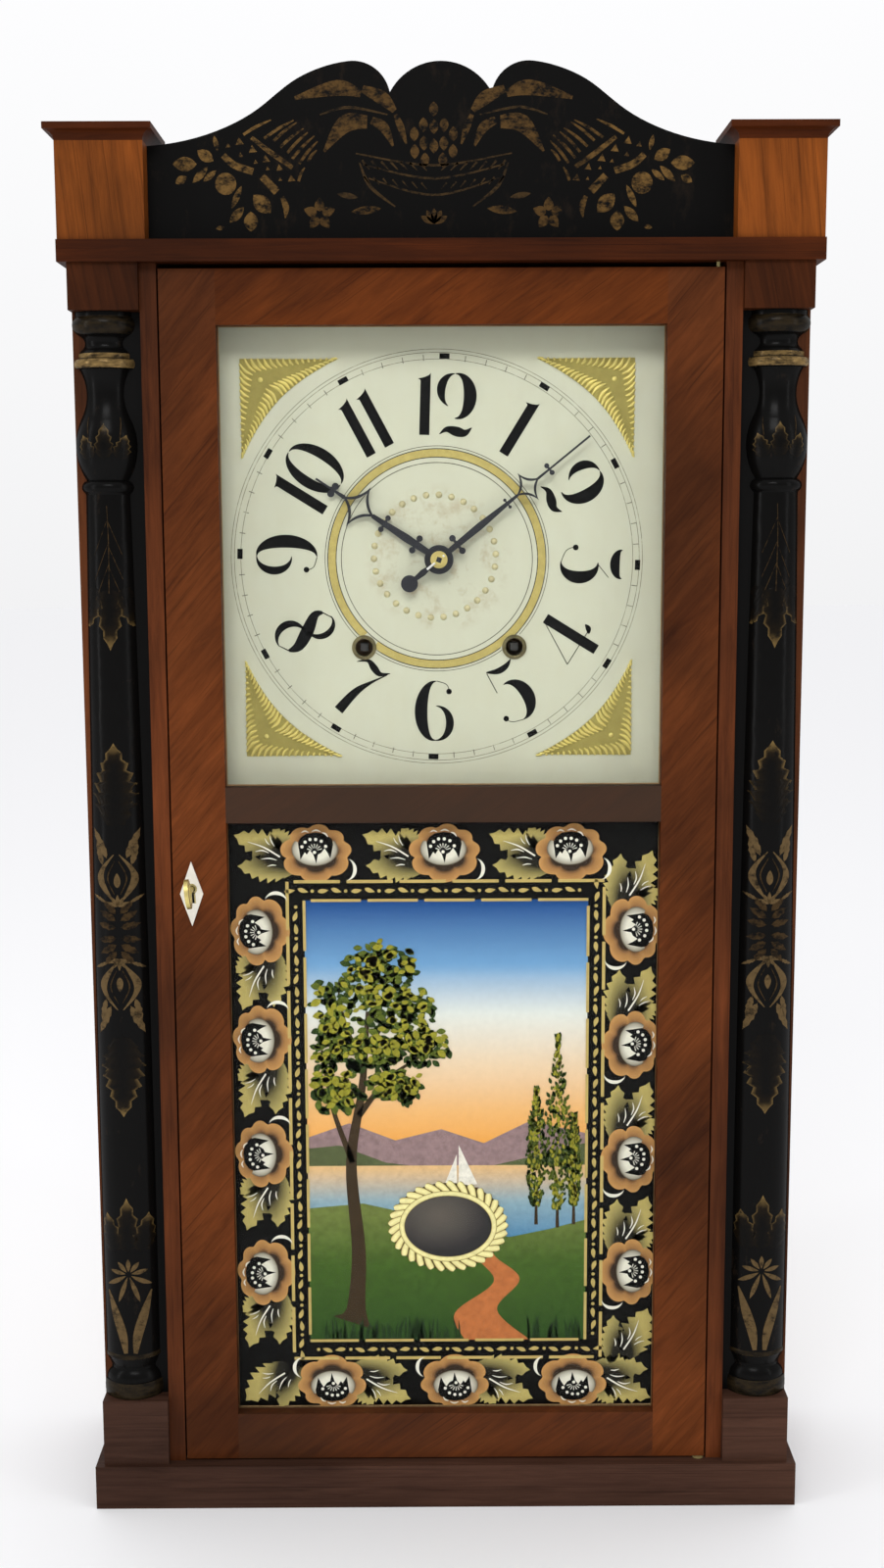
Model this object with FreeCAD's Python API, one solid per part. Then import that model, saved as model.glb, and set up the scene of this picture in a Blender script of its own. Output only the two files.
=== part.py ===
import FreeCAD, Part
import math
import os

# Column-and-splat shelf clock with a weight-driven wooden movement.
# Millimetres. +Z is up, the front faces -Y, and the origin is under the middle of the base.

# Case, seen from the front
base_width = 431.0
base_height = 27.3
case_width = 420.8
block_width = 39.8
base_block_height = 41.35
capital_height = 26.1
face_height = 719.7
cornice_width = 431.0
cornice_height = 12.2

# Case, from front to back
base_depth = 125.0
base_projection = 3.0
cornice_projection = 2.5
block_depth = 12.4
face_thickness = 10.0
side_thickness = 13.0
back_thickness = 8.0
plinth_thickness = 12.0
jamb_width = 9.6

# Half columns: half chord on the face board at each height share of the turning
column_axis_setback = 9.0
column_axis_outward = 2.2
column_torus = 17.9
column_shaft_bottom = 16.4
column_shaft_middle = 15.9
column_shaft_top = 12.7
column_vase = 17.7
column_neck = 10.6
column_bead = 17.4

# Chimneys and splat on the cornice
chimney_width = 49.3
chimney_height = 53.5
chimney_depth = 46.0
cap_overhang = 5.4
cap_height = 9.0
cap_edge = 3.6
splat_thickness = 9.0
splat_setback = 15.0
splat_end_height = 53.2
splat_peak_height = 98.7
splat_notch_height = 82.0
splat_notch_x = 28.6
splat_lobe_x = 52.0
glue_block_size = 24.0

# Door
door_setback = 5.0
door_gap = 1.0
door_top_gap = 3.0
door_bottom_gap = 1.2
door_thickness = 20.0
door_stile_width = 32.0
door_top_rail = 31.0
door_middle_rail = 21.2
door_bottom_rail = 29.0
dial_window_height = 264.7
glass_thickness = 2.0
glass_lip = 8.0
glass_rabbet = 6.0
glass_clearance = 0.4
strip_depth = 4.0
hinge_pin_radius = 1.1
hinge_edge = 3.6
hinge_setback = 2.2
hinge_pin_reach = 9.0
hinge_pin_end_gap = 0.5
hinge_washer_radius = 3.6
hinge_washer_thickness = 0.9

# Lock, key and bone escutcheon
lock_edge = 11.0
lock_height = 388.1
escutcheon_width = 13.7
escutcheon_length = 38.8
escutcheon_drop = 3.0
escutcheon_thickness = 1.2
keyhole_radius = 2.2
key_radius = 1.6
key_reach = 11.5
key_bow_height = 17.6
key_bow_depth = 13.0
key_bow_thickness = 2.4
key_bow_lean = 6.0
key_bow_rim = 3.0
key_bit_length = 5.5
key_bit_width = 1.6
lock_case_height = 21.0
lock_case_depth = 9.0
lock_wall = 1.2
lock_clearance = 0.3
bolt_thickness = 4.0
bolt_throw = 5.0
bolt_window = 10.0

# Dial and hands
dial_offset = -2.0
dial_drop = 0.35
dial_side_gap = 11.0
dial_length = 295.0
dial_gap = 6.0
dial_thickness = 6.0
dial_rail_width = 29.6
dial_rail_thickness = 10.0
winding_half_spacing = 44.6
winding_drop = 51.8
grommet_radius = 7.3
grommet_bore = 5.2
grommet_flange = 0.8
hand_thickness = 1.2
hand_boss_radius = 8.5
hour_hand_gap = 2.5
minute_hand_gap = 2.0
hour_hand_length = 86.0
hand_belly_share = 0.27
diamond_hollow = 0.27
hour_hand_angle = 303.3
minute_hand_length = 113.4
minute_hand_angle = 51.1
tail_disc_radius = 5.0
collet_radius = 5.0
collet_height = 2.2
arbor_nose = 4.0
taper_pin_radius = 0.7
taper_pin_length = 13.0

# Movement frame
plate_weight_gap = 10.0
plate_rise = 120.0
plate_fall = 124.0
plate_thickness = 8.0
pillar_length = 38.0
pillar_radius = 5.0
pillar_spread_top = 55.0
pillar_rise_top = 110.0
pillar_edge_bottom = 7.0
pillar_fall_bottom = 112.0
movement_rail_height = 18.0
movement_rail_depth = 8.0
movement_rail_inset = 24.0

# Trains: tooth counts and modules
great_teeth = 78
center_teeth = 64
third_teeth = 72
pin_wheel_teeth = 60
pinion_leaves = 8
cannon_teeth = 12
motion_teeth = 36
motion_pinion_teeth = 10
hour_teeth = 40
escape_teeth = 42
center_module = 1.2
third_module = 1.0
pin_wheel_module = 1.0
hour_module = 0.8
third_direction = 92.7
escape_direction = 128.7
pin_wheel_direction = 116.3
fly_direction = 130.0
motion_direction = -20.0
wheel_thickness = 4.0
great_thickness = 5.0
motion_thickness = 3.0
pinion_overlap = 1.5
arbor_radius = 3.0
pivot_radius = 1.6
pivot_length = 6.0
running_clearance = 0.05
end_shake = 0.3
escape_radius = 24.0
escape_thickness = 2.0
fly_radius = 18.0
fly_width = 12.0
fly_vane = 1.6

# Layers of the movement: behind the front plate, and in front of it
great_plate_gap = 2.0
fly_layer = 4.0
bell_layer = 12.0
third_layer = 13.0
time_cord_layer = 15.0
center_layer = 22.0
strike_cord_layer = 22.0
pin_wheel_layer = 28.0
motion_layer = 5.0
escape_layer = 6.0
hour_layer = 10.0
rod_layer = 10.0
count_plate_gap = 2.0

# Winding drums, cords, pulleys and weights
winding_radius = 3.5
winding_square = 4.6
winding_square_length = 10.0
winding_recess = 2.0
drum_radius = 14.0
drum_length = 22.0
drum_flange = 4.0
drum_flange_thickness = 1.5
sleeve_radius = 6.0
count_radius = 34.0
count_thickness = 3.0
count_notch = 3.0
cord_radius = 0.9
cord_seat = 0.3
pulley_radius = 11.0
pulley_flange = 3.0
pulley_width = 8.0
pulley_drop = 9.0
pulley_ear_width = 16.0
pulley_ear_thickness = 4.0
pulley_pocket = 7.0
weight_side_gap = 15.4
weight_width = 52.0
weight_depth = 38.0
weight_height = 110.0
weight_loop = 5.0
weight_floor_gap = 0.3

# Pendulum, verge, bell and hammer
stud_radius = 1.5
stud_rise_share = 1.5
stud_head_radius = 3.0
rod_radius = 1.0
pendulum_length = 345.0
bob_radius = 26.0
bob_thickness = 16.0
rod_eye_radius = 3.2
crutch_length = 62.0
bell_offset = -40.0
bell_radius = 26.0
bell_height = 23.0
bell_wall = 2.5
bell_stem_radius = 2.5
bell_stem_length = 16.0
hammer_offset = -97.0
hammer_rise = 62.0
hammer_head_radius = 4.0
hammer_head_length = 10.0
hammer_gap = 1.0
hammer_rod_radius = 1.5
hammer_tail = 31.0

# Heights that follow from the sizes above
z_face = base_height
z_cornice = base_height + face_height
z_top = z_cornice + cornice_height
z_door = base_height + door_bottom_gap
z_door_top = z_cornice - door_top_gap
z_window_top = z_door_top - door_top_rail
z_window = z_window_top - dial_window_height
z_tablet_top = z_window - door_middle_rail
z_tablet = z_door + door_bottom_rail
dial_height = (z_window + z_window_top) / 2 - dial_drop

# Depth planes that follow, from the front to the back
y_base = -base_depth / 2
y_back = base_depth / 2
y_block = y_base + base_projection
y_cornice = y_block - cornice_projection
y_face = y_block + block_depth
y_side = y_face + face_thickness
y_door = y_block + door_setback
y_door_back = y_door + door_thickness
y_glass = y_door + glass_lip
y_dial = y_door_back + dial_gap
y_dial_back = y_dial + dial_thickness
y_board = y_back - back_thickness
y_rail = y_board - movement_rail_depth
y_back_plate = y_rail - plate_thickness
y_gap = y_back_plate - pillar_length
y_front_plate = y_gap - plate_thickness

# Widths that follow
x_side = case_width / 2
x_side_in = x_side - side_thickness
x_block = x_side - block_width
x_jamb = x_block - jamb_width
x_door = x_jamb - door_gap
x_window = x_door - door_stile_width
weight_offset = x_side_in - weight_side_gap - weight_width / 2


def vec(x, y, z):
    return FreeCAD.Vector(x, y, z)


def box(x0, x1, y0, y1, z0, z1):
    return Part.makeBox(x1 - x0, y1 - y0, z1 - z0, vec(x0, y0, z0))


def rod_y(x, z, radius, y0, y1):
    return Part.makeCylinder(radius, y1 - y0, vec(x, y0, z), vec(0, 1, 0))


def rod_z(x, y, radius, z0, z1):
    return Part.makeCylinder(radius, z1 - z0, vec(x, y, z0), vec(0, 0, 1))


def rod_between(start, end, radius):
    return Part.makeCylinder(radius, start.distanceToPoint(end), start, end.sub(start))


def plate(points, y0, y1):
    """Closed outline of (x, z) points, from y0 to y1."""
    corners = [vec(x, y0, z) for x, z in points]
    return Part.Face(Part.makePolygon(corners + corners[:1])).extrude(vec(0, y1 - y0, 0))


def edges_plate(edges, y0, y1):
    """Closed loop of edges drawn at y0, made y1 - y0 thick."""
    return Part.Face(Part.Wire(edges)).extrude(vec(0, y1 - y0, 0))


def line(a, b):
    return Part.LineSegment(a, b).toShape()


def arc(a, middle, b):
    return Part.Arc(a, middle, b).toShape()


def mirrored(shape):
    return shape.mirror(vec(0, 0, 0), vec(1, 0, 0))


def pair(shape):
    return Part.makeCompound([mirrored(shape), shape])


def union(shapes):
    return shapes[0].fuse(shapes[1:]).removeSplitter()


def cut(shape, *tools):
    return shape.cut(list(tools))


def polar(origin, distance, degrees):
    angle = math.radians(degrees)
    return origin[0] + distance * math.cos(angle), origin[1] + distance * math.sin(angle)


def bearing(a, b):
    """Direction in degrees, in the front view, from point a to point b."""
    return math.degrees(math.atan2(b[1] - a[1], b[0] - a[0]))


def tooth_ring(centre, teeth, module, profile, first, y0, y1):
    """Toothed disc. profile lists (radius offset in modules, half width in tooth pitches), root first."""
    pitch = 360.0 / teeth
    radius = teeth * module / 2
    flank = [(radius + rise * module, half * pitch) for rise, half in profile]
    points = []
    for tooth in range(teeth):
        middle = first + tooth * pitch
        points += [polar(centre, r, middle - half) for r, half in flank]
        points += [polar(centre, r, middle + half) for r, half in reversed(flank)]
    return plate(points, y0, y1)


def wheel(centre, teeth, module, tooth_at, y0, y1):
    """Wheel with one tooth centred on the direction tooth_at."""
    return tooth_ring(centre, teeth, module, [(-1.25, 0.25), (0, 0.225), (0.85, 0.07)], tooth_at, y0, y1)


def pinion(centre, leaves, module, gap_at, y0, y1):
    """Pinion with one gap centred on the direction gap_at."""
    first = gap_at + 180.0 / leaves
    return tooth_ring(centre, leaves, module, [(-1.5, 0.15), (0, 0.15), (0.45, 0.08)], first, y0, y1)


def arbor(centre, y0=y_gap, y1=y_back_plate):
    """Turned arbor between the plates, with a thinner pivot in each plate."""
    x, z = centre
    body = rod_y(x, z, arbor_radius, y0 + end_shake, y1 - end_shake)
    return union([body, rod_y(x, z, pivot_radius, y0 - pivot_length, y1 + pivot_length)])


def pivot_holes(shape, centre):
    return cut(shape, rod_y(centre[0], centre[1], pivot_radius + running_clearance, y_front_plate, y_rail))


# Plan of the movement in the front view, about the hands' axis
hands = (dial_offset, dial_height)
time_wind = (hands[0] + winding_half_spacing, hands[1] - winding_drop)
strike_wind = (hands[0] - winding_half_spacing, hands[1] - winding_drop)
great_distance = math.hypot(winding_half_spacing, winding_drop)
great_module = 2 * great_distance / (great_teeth + pinion_leaves)
center_distance = center_module * (center_teeth + pinion_leaves) / 2
third_distance = third_module * (third_teeth + pinion_leaves) / 2
fly_distance = pin_wheel_module * (pin_wheel_teeth + pinion_leaves) / 2
motion_distance = hour_module * (hour_teeth + motion_pinion_teeth) / 2
cannon_module = 2 * motion_distance / (cannon_teeth + motion_teeth)
third_axis = polar(hands, center_distance, third_direction)
escape_axis = polar(third_axis, third_distance, escape_direction)
pin_wheel_axis = polar(strike_wind, great_distance, pin_wheel_direction)
fly_axis = polar(pin_wheel_axis, fly_distance, fly_direction)
motion_axis = polar(hands, motion_distance, motion_direction)
hammer_axis = (hands[0] + hammer_offset, hands[1] + hammer_rise)
stud = (escape_axis[0], escape_axis[1] + stud_rise_share * escape_radius)

# Layers of the movement: strike great wheel forward, time great wheel back
y_strike_great = y_gap + great_plate_gap
y_time_great = y_back_plate - great_plate_gap - great_thickness
y_third = y_gap + third_layer
y_center = y_gap + center_layer
y_pin_wheel = y_gap + pin_wheel_layer
y_fly = y_gap + fly_layer
y_time_cord = y_gap + time_cord_layer
y_strike_cord = y_gap + strike_cord_layer
y_bell = y_gap + bell_layer
y_motion = y_front_plate - motion_layer
y_hour = y_front_plate - hour_layer
y_escape = y_front_plate - escape_layer
y_rod = y_front_plate - rod_layer
y_hour_hand = y_dial - hour_hand_gap - hand_thickness
y_minute_hand = y_hour_hand - minute_hand_gap - hand_thickness

parts = {}


# Base: a plinth of three boards round a solid floor
def make_base():
    half = base_width / 2
    inner = half - plinth_thickness
    y_in = y_base + plinth_thickness
    front = box(-half, half, y_base, y_in, 0, base_height)
    side = box(inner, half, y_in, y_back, 0, base_height)
    pin = hinge_pin(z_face, -hinge_pin_reach)
    parts["plinth"] = Part.makeCompound([cut(front, pin), side, mirrored(side)])
    parts["bottom_board"] = box(-inner, inner, y_in, y_back, 0, base_height)


def hinge_pin(z_seat, reach):
    """Pivot pin of the door, from its seat in the case into the door's edge."""
    x = x_door - hinge_edge
    y = y_door + hinge_setback
    into_door = -math.copysign(hinge_pin_reach + door_top_gap, reach)
    return rod_z(x, y, hinge_pin_radius, z_seat + min(reach, into_door), z_seat + max(reach, into_door))


def make_case():
    parts["case_sides"] = pair(box(x_side_in, x_side, y_side, y_board, z_face, z_cornice))
    parts["back_board"] = box(-x_side, x_side, y_board, y_back, z_face, z_cornice)
    half = cornice_width / 2
    top = box(-half, half, y_cornice, y_back, z_cornice, z_top)
    pockets = [pulley_pocket_box(1, y_time_cord), pulley_pocket_box(-1, y_strike_cord)]
    parts["cornice"] = cut(top, hinge_pin(z_cornice, hinge_pin_reach), *pockets)
    parts["face_boards"] = pair(box(x_block, x_side, y_face, y_side, z_face, z_cornice))
    jamb = box(x_jamb, x_block, y_door, y_dial_back, z_face, z_cornice)
    slot = bolt_throw + 2 * lock_clearance
    reach = bolt_half_height() + 2 * lock_clearance
    mortise = box(-x_jamb - slot, -x_jamb, y_bolt() - 2 * lock_clearance,
                  y_bolt() + bolt_thickness + 2 * lock_clearance, lock_height - reach, lock_height + reach)
    parts["door_jambs"] = Part.makeCompound([cut(mirrored(jamb), mortise), jamb])
    base_block = box(x_block, x_side, y_block, y_face, z_face, z_face + base_block_height)
    parts["base_blocks"] = pair(base_block)
    capital = box(x_block, x_side, y_block, y_face, z_cornice - capital_height, z_cornice)
    parts["capital_blocks"] = pair(capital)


def column_profile():
    """(half chord, height above the base block) round the turning, with arcs between some of them."""
    height = face_height - base_block_height - capital_height
    top = height
    return [
        ("line", column_torus - 0.5, 0.0),
        ("arc", column_torus, 5.0, column_torus - 0.5, 10.0),
        ("line", column_torus - 1.3, 10.4),
        ("arc", column_torus - 1.9, 14.0, column_neck + 2.8, 17.4),
        ("line", column_neck + 2.8, 19.2),
        ("arc", column_shaft_bottom - 1.6, 22.4, column_shaft_bottom - 0.3, 25.4),
        ("line", column_shaft_bottom + 0.3, 25.8),
        ("line", column_shaft_bottom + 0.3, 27.8),
        ("line", column_shaft_bottom, 28.4),
        ("arc", column_shaft_middle, top * 0.45, column_shaft_top, top - 102.5),
        ("line", column_shaft_top + 0.6, top - 101.6),
        ("arc", column_shaft_top + 2.3, top - 98.4, column_shaft_top + 0.6, top - 95.2),
        ("line", column_neck + 1.4, top - 94.5),
        ("arc", column_vase, top - 76.0, column_vase - 3.2, top - 60.5),
        ("arc", column_neck, top - 46.0, column_neck + 3.7, top - 31.8),
        ("line", column_bead - 0.8, top - 31.4),
        ("arc", column_bead, top - 29.2, column_bead - 0.8, top - 26.4),
        ("line", column_bead - 2.9, top - 25.8),
        ("line", column_bead - 2.9, top - 23.2),
        ("line", column_neck + 2.4, top - 21.4),
        ("arc", column_neck + 0.2, top - 17.0, column_torus - 3.0, top - 12.6),
        ("arc", column_torus, top - 7.0, column_torus - 1.8, top - 2.8),
        ("line", column_torus - 1.8, top),
    ]


def make_columns():
    """Split turnings: less than half of a round column, glued to the face board."""
    x = x_block + block_width / 2 + column_axis_outward
    y = y_face + column_axis_setback
    z = z_face + base_block_height

    def point(half_chord, height):
        return vec(x + math.hypot(half_chord, column_axis_setback), y, z + height)

    profile = column_profile()
    edges = [line(vec(x, y, z), point(*profile[0][1:]))]
    last = point(*profile[0][1:])
    for step in profile[1:]:
        end = point(*step[-2:])
        edges.append(line(last, end) if step[0] == "line" else arc(last, point(*step[1:3]), end))
        last = end
    edges.append(line(last, vec(x, y, last.z)))
    edges.append(line(vec(x, y, last.z), vec(x, y, z)))
    turning = Part.Face(Part.Wire(edges)).revolve(vec(x, y, z), vec(0, 0, 1), 360)
    reach = block_width
    front = box(x - reach, x + reach, y_face - reach, y_face, z, last.z)
    column = turning.common(front)
    parts["columns"] = pair(column)


def coved_face(start, end, z, place):
    """Section of a cap with a hollow under each edge. place puts (along, height) in space."""
    cove = cap_height - cap_edge
    mid = cove * math.sqrt(0.5)
    low, high = z + cove, z + cap_height
    edges = [
        line(place(start + cove, z), place(end - cove, z)),
        arc(place(end - cove, z), place(end - mid, z + mid), place(end, low)),
        line(place(end, low), place(end, high)),
        line(place(end, high), place(start, high)),
        line(place(start, high), place(start, low)),
        arc(place(start, low), place(start + mid, z + mid), place(start + cove, z)),
    ]
    return Part.Face(Part.Wire(edges))


def make_top():
    half = cornice_width / 2 - 0.3
    inner = half - chimney_width
    z_cap = z_top + chimney_height
    parts["chimneys"] = pair(box(inner, half, y_block, y_block + chimney_depth, z_top, z_cap))

    x0, x1 = inner - cap_overhang, half + cap_overhang
    y0, y1 = y_block - cap_overhang, y_block + chimney_depth + cap_overhang
    long_way = coved_face(x0, x1, z_cap, lambda a, z: vec(a, y0, z)).extrude(vec(0, y1 - y0, 0))
    deep_way = coved_face(y0, y1, z_cap, lambda a, z: vec(x0, a, z)).extrude(vec(x1 - x0, 0, 0))
    parts["chimney_caps"] = pair(long_way.common(deep_way))

    y_splat = y_block + splat_setback
    z_end, z_peak, z_notch = z_top + splat_end_height, z_top + splat_peak_height, z_top + splat_notch_height
    rise = z_peak - z_end
    run = inner - splat_lobe_x
    ogee = [(0, 0), (0.2, 0.07), (0.4, 0.23), (0.56, 0.45), (0.73, 0.77), (0.86, 0.92), (1, 1)]
    curve = Part.BSplineCurve()
    curve.interpolate([vec(inner - along * run, y_splat, z_end + up * rise) for along, up in ogee])
    peak = vec(splat_lobe_x, y_splat, z_peak)
    notch = vec(splat_notch_x, y_splat, z_notch)
    sag = (z_peak - z_notch) * 0.24
    shoulder = vec((splat_lobe_x + splat_notch_x) / 2 - sag, y_splat, (z_peak + z_notch) / 2 + sag)
    lobe = arc(peak, shoulder, notch)
    right = [line(vec(inner, y_splat, z_top), vec(inner, y_splat, z_end)), curve.toShape(), lobe]
    left = [mirrored(edge) for edge in reversed(right)]
    crown = arc(notch, vec(0, y_splat, z_peak), vec(-splat_notch_x, y_splat, z_notch))
    foot = line(vec(-inner, y_splat, z_top), vec(inner, y_splat, z_top))
    outline = Part.Wire(Part.__sortEdges__(right + [crown] + left + [foot]))
    parts["splat"] = Part.Face(outline).extrude(vec(0, splat_thickness, 0))

    y_glue = y_splat + splat_thickness
    wedge = [vec(0, y_glue, z_top), vec(0, y_glue + glue_block_size, z_top),
             vec(0, y_glue, z_top + glue_block_size)]
    face = Part.Face(Part.makePolygon(wedge + wedge[:1]))
    block = face.extrude(vec(glue_block_size, 0, 0)).translate(vec(inner / 2, 0, 0))
    parts["splat_glue_blocks"] = pair(block)


def y_bolt():
    return y_door_back - lock_case_depth + lock_wall + lock_clearance


def bolt_half_height():
    return lock_case_height / 2 - lock_wall - lock_clearance


def lock_box():
    """Pocket in the lock stile, which the lock case fills."""
    half = lock_case_height / 2
    return (-x_door, -x_window - glass_rabbet - 2.0, y_door_back - lock_case_depth, y_door_back,
            lock_height - half, lock_height + half)


def glass_pane(z0, z1, clearance):
    edge = glass_rabbet - clearance
    return -x_window - edge, x_window + edge, z0 - edge, z1 + edge


def rabbet(z0, z1):
    x0, x1, low, high = glass_pane(z0, z1, 0)
    return box(x0, x1, y_glass, y_door_back, low, high)


def make_door():
    windows = [(z_window, z_window_top), (z_tablet, z_tablet_top)]
    rabbets = [rabbet(*span) for span in windows]
    stile = box(x_window, x_door, y_door, y_door_back, z_door, z_door_top)
    x = x_door - hinge_edge
    y = y_door + hinge_setback
    radius = hinge_pin_radius + running_clearance
    reach = hinge_pin_reach + door_top_gap + hinge_pin_end_gap
    holes = [rod_z(x, y, radius, z_face, z_face + reach), rod_z(x, y, radius, z_cornice - reach, z_cornice)]
    hinge_stile = cut(stile, *rabbets, *holes)
    keyway = rod_y(-x_door + lock_edge, lock_height, keyhole_radius, y_door, y_door_back)
    lock_stile = cut(mirrored(stile), *rabbets, box(*lock_box()), keyway)
    parts["door_stiles"] = Part.makeCompound([lock_stile, hinge_stile])
    rails = [(z_window_top, z_door_top), (z_tablet_top, z_window), (z_door, z_tablet)]
    rail_solids = [cut(box(-x_window, x_window, y_door, y_door_back, *span), *rabbets) for span in rails]
    parts["door_rails"] = Part.makeCompound(rail_solids)

    strips = []
    y_strip = y_glass + glass_thickness
    y_end = y_strip + strip_depth
    for name, span in zip(("dial_glass", "tablet_glass"), windows):
        x0, x1, low, high = glass_pane(*span, glass_clearance)
        parts[name] = box(x0, x1, y_glass, y_strip, low, high)
        x0, x1, low, high = glass_pane(*span, 0)
        strips += [
            box(x0, -x_window, y_strip, y_end, low, high),
            box(x_window, x1, y_strip, y_end, low, high),
            box(-x_window, x_window, y_strip, y_end, low, span[0]),
            box(-x_window, x_window, y_strip, y_end, span[1], high),
        ]
    parts["glass_strips"] = Part.makeCompound(strips)

    top_pin, bottom_pin = hinge_pin(z_cornice, hinge_pin_reach), hinge_pin(z_face, -hinge_pin_reach)
    washer = rod_z(x, y, hinge_washer_radius, z_face, z_face + hinge_washer_thickness)
    parts["hinge_pins"] = Part.makeCompound([top_pin, bottom_pin, cut(washer, bottom_pin)])


def make_lock():
    x_key = -x_door + lock_edge
    half_w, half_l = escutcheon_width / 2, escutcheon_length / 2
    z_mid = lock_height - escutcheon_drop
    diamond = [(x_key - half_w, z_mid), (x_key, z_mid - half_l),
               (x_key + half_w, z_mid), (x_key, z_mid + half_l)]
    keyway = rod_y(x_key, lock_height, keyhole_radius, y_door - escutcheon_thickness, y_door_back)
    parts["escutcheon"] = cut(plate(diamond, y_door - escutcheon_thickness, y_door), keyway)

    x0, x1, y0, y1, z0, z1 = lock_box()
    y_in, y_out = y_bolt() - lock_clearance, y_bolt() + bolt_thickness + lock_clearance
    cavity = box(x0, x1 - lock_wall, y_in, y_out, z0 + lock_wall, z1 - lock_wall)
    rear_hole = rod_y(x_key, lock_height, key_radius + running_clearance, y_out, y1)
    front_hole = rod_y(x_key, lock_height, keyhole_radius, y0, y_in)
    parts["lock_case"] = cut(box(x0, x1, y0, y1, z0, z1), cavity, rear_hole, front_hole)

    half = bolt_half_height()
    bolt = box(x0, x1 - lock_wall - lock_clearance, y_bolt(), y_bolt() + bolt_thickness,
               lock_height - half, lock_height + half)
    spare = (bolt_window - bolt_throw) / 2
    bit_room = key_bit_length + lock_clearance
    window = box(x_key - spare, x_key + spare + bolt_throw, y_bolt(), y_bolt() + bolt_thickness,
                 lock_height - bit_room, lock_height + bit_room)
    parts["lock_bolt"] = cut(bolt, window)

    y_bow = y_door - key_reach
    stem = rod_y(x_key, lock_height, key_radius, y_bow, y_door_back - lock_clearance)
    bit = box(x_key - key_bit_width / 2, x_key + key_bit_width / 2, y_bolt() + lock_clearance,
              y_bolt() + bolt_thickness - lock_clearance, lock_height - key_bit_length, lock_height)
    parts["key"] = union([stem, bit, key_bow(x_key, y_bow)])


def key_bow(x_key, y_bow):
    """Oval ring of the key, standing edge-on to the front."""
    def oval(shrink):
        ellipse = Part.Ellipse(vec(0, 0, 0), key_bow_height / 2 - shrink, key_bow_depth / 2 - shrink)
        face = Part.Face(Part.Wire(ellipse.toShape()))
        solid = face.extrude(vec(0, 0, key_bow_thickness))
        solid.rotate(vec(0, 0, 0), vec(0, 1, 0), -90)
        return solid

    ring = cut(oval(0), oval(key_bow_rim)).translate(vec(key_bow_thickness / 2, 0, 0))
    ring.rotate(vec(0, 0, 0), vec(0, 1, 0), -key_bow_lean)
    overlap = key_bow_rim / 2
    middle = y_bow - key_bow_depth / 2 + overlap
    return ring.translate(vec(x_key, middle, lock_height))


def make_dial():
    half_w, half_l = x_jamb - dial_side_gap, dial_length / 2
    board = box(-half_w, half_w, y_dial, y_dial_back, dial_height - half_l, dial_height + half_l)
    sleeve = grommet_bore + grommet_flange
    holes = [rod_y(*wind, sleeve, y_dial, y_dial_back) for wind in (time_wind, strike_wind)]
    centre = rod_y(*hands, hour_pipe_radius() + 2.0, y_dial, y_dial_back)
    parts["dial_board"] = cut(board, centre, *holes)
    rail_in = x_block - dial_rail_width
    rail = box(rail_in, x_block, y_dial_back, y_dial_back + dial_rail_thickness, z_face, z_cornice)
    parts["dial_rails"] = pair(rail)
    grommets = []
    for x, z in (strike_wind, time_wind):
        y_flange = y_dial - grommet_flange
        flange = rod_y(x, z, grommet_radius, y_flange, y_dial)
        ring = union([flange, rod_y(x, z, sleeve, y_dial, y_dial_back)])
        grommets.append(cut(ring, rod_y(x, z, grommet_bore, y_flange, y_dial_back)))
    parts["winding_grommets"] = Part.makeCompound(grommets)


def hour_pipe_radius():
    return arbor_radius + running_clearance + 1.5


def hand_frame(near, widest, far, half_width, bar):
    """Open diamond of a hand with four hollow sides, on a hand that points up."""
    def star(n, f, w):
        corners = [vec(0, 0, n), vec(w, 0, widest), vec(0, 0, f), vec(-w, 0, widest)]
        middle = vec(0, 0, widest)
        sides = []
        for a, b in zip(corners, corners[1:] + corners[:1]):
            half = (a + b) * 0.5
            sides.append(arc(a, half + (middle - half) * diamond_hollow, b))
        return edges_plate(sides, 0, hand_thickness)

    return cut(star(near, far, half_width), star(near + 2.1 * bar, far - 2.1 * bar, half_width - 2.1 * bar))


def hand(length, knobs, shaft_widths, diamond, tip_width, bore):
    """Hand that points up: boss, swelled shaft, knobs on cross bars, open diamond and thin tip.
    All but the bore are shares of its length. Each knob pair is (along, across, radius)."""
    near, widest, far, half_width, bar = [share * length for share in diamond]
    neck, belly, narrow = [share * length / 2 for share in shaft_widths]
    thin = tip_width * length / 2
    root = hand_boss_radius * 0.7
    last_knob = knobs[-1][0] * length
    swell = hand_belly_share * length
    right = [(neck, root), (belly, swell), (narrow, near + bar)]
    shaft = right + [(-u, v) for u, v in reversed(right)]
    point = [(-narrow, far - bar), (narrow, far - bar), (thin, last_knob), (thin, length),
             (-thin, length), (-thin, last_knob)]
    pieces = [rod_y(0, 0, hand_boss_radius, 0, hand_thickness), plate(shaft, 0, hand_thickness),
              plate(point, 0, hand_thickness), hand_frame(near, widest, far, half_width, bar)]
    for knob in knobs:
        along, across, radius = [share * length for share in knob]
        bar_half = radius * 0.45
        pieces.append(box(-across, across, 0, hand_thickness, along - bar_half, along + bar_half))
        pieces += [rod_y(side * across, along, radius, 0, hand_thickness) for side in (-1, 1)]
    return pieces, rod_y(0, 0, bore, 0, hand_thickness)


def set_hand(shape, angle, y):
    shape.rotate(vec(0, 0, 0), vec(0, 1, 0), angle)
    return shape.translate(vec(hands[0], y, hands[1]))


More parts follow.
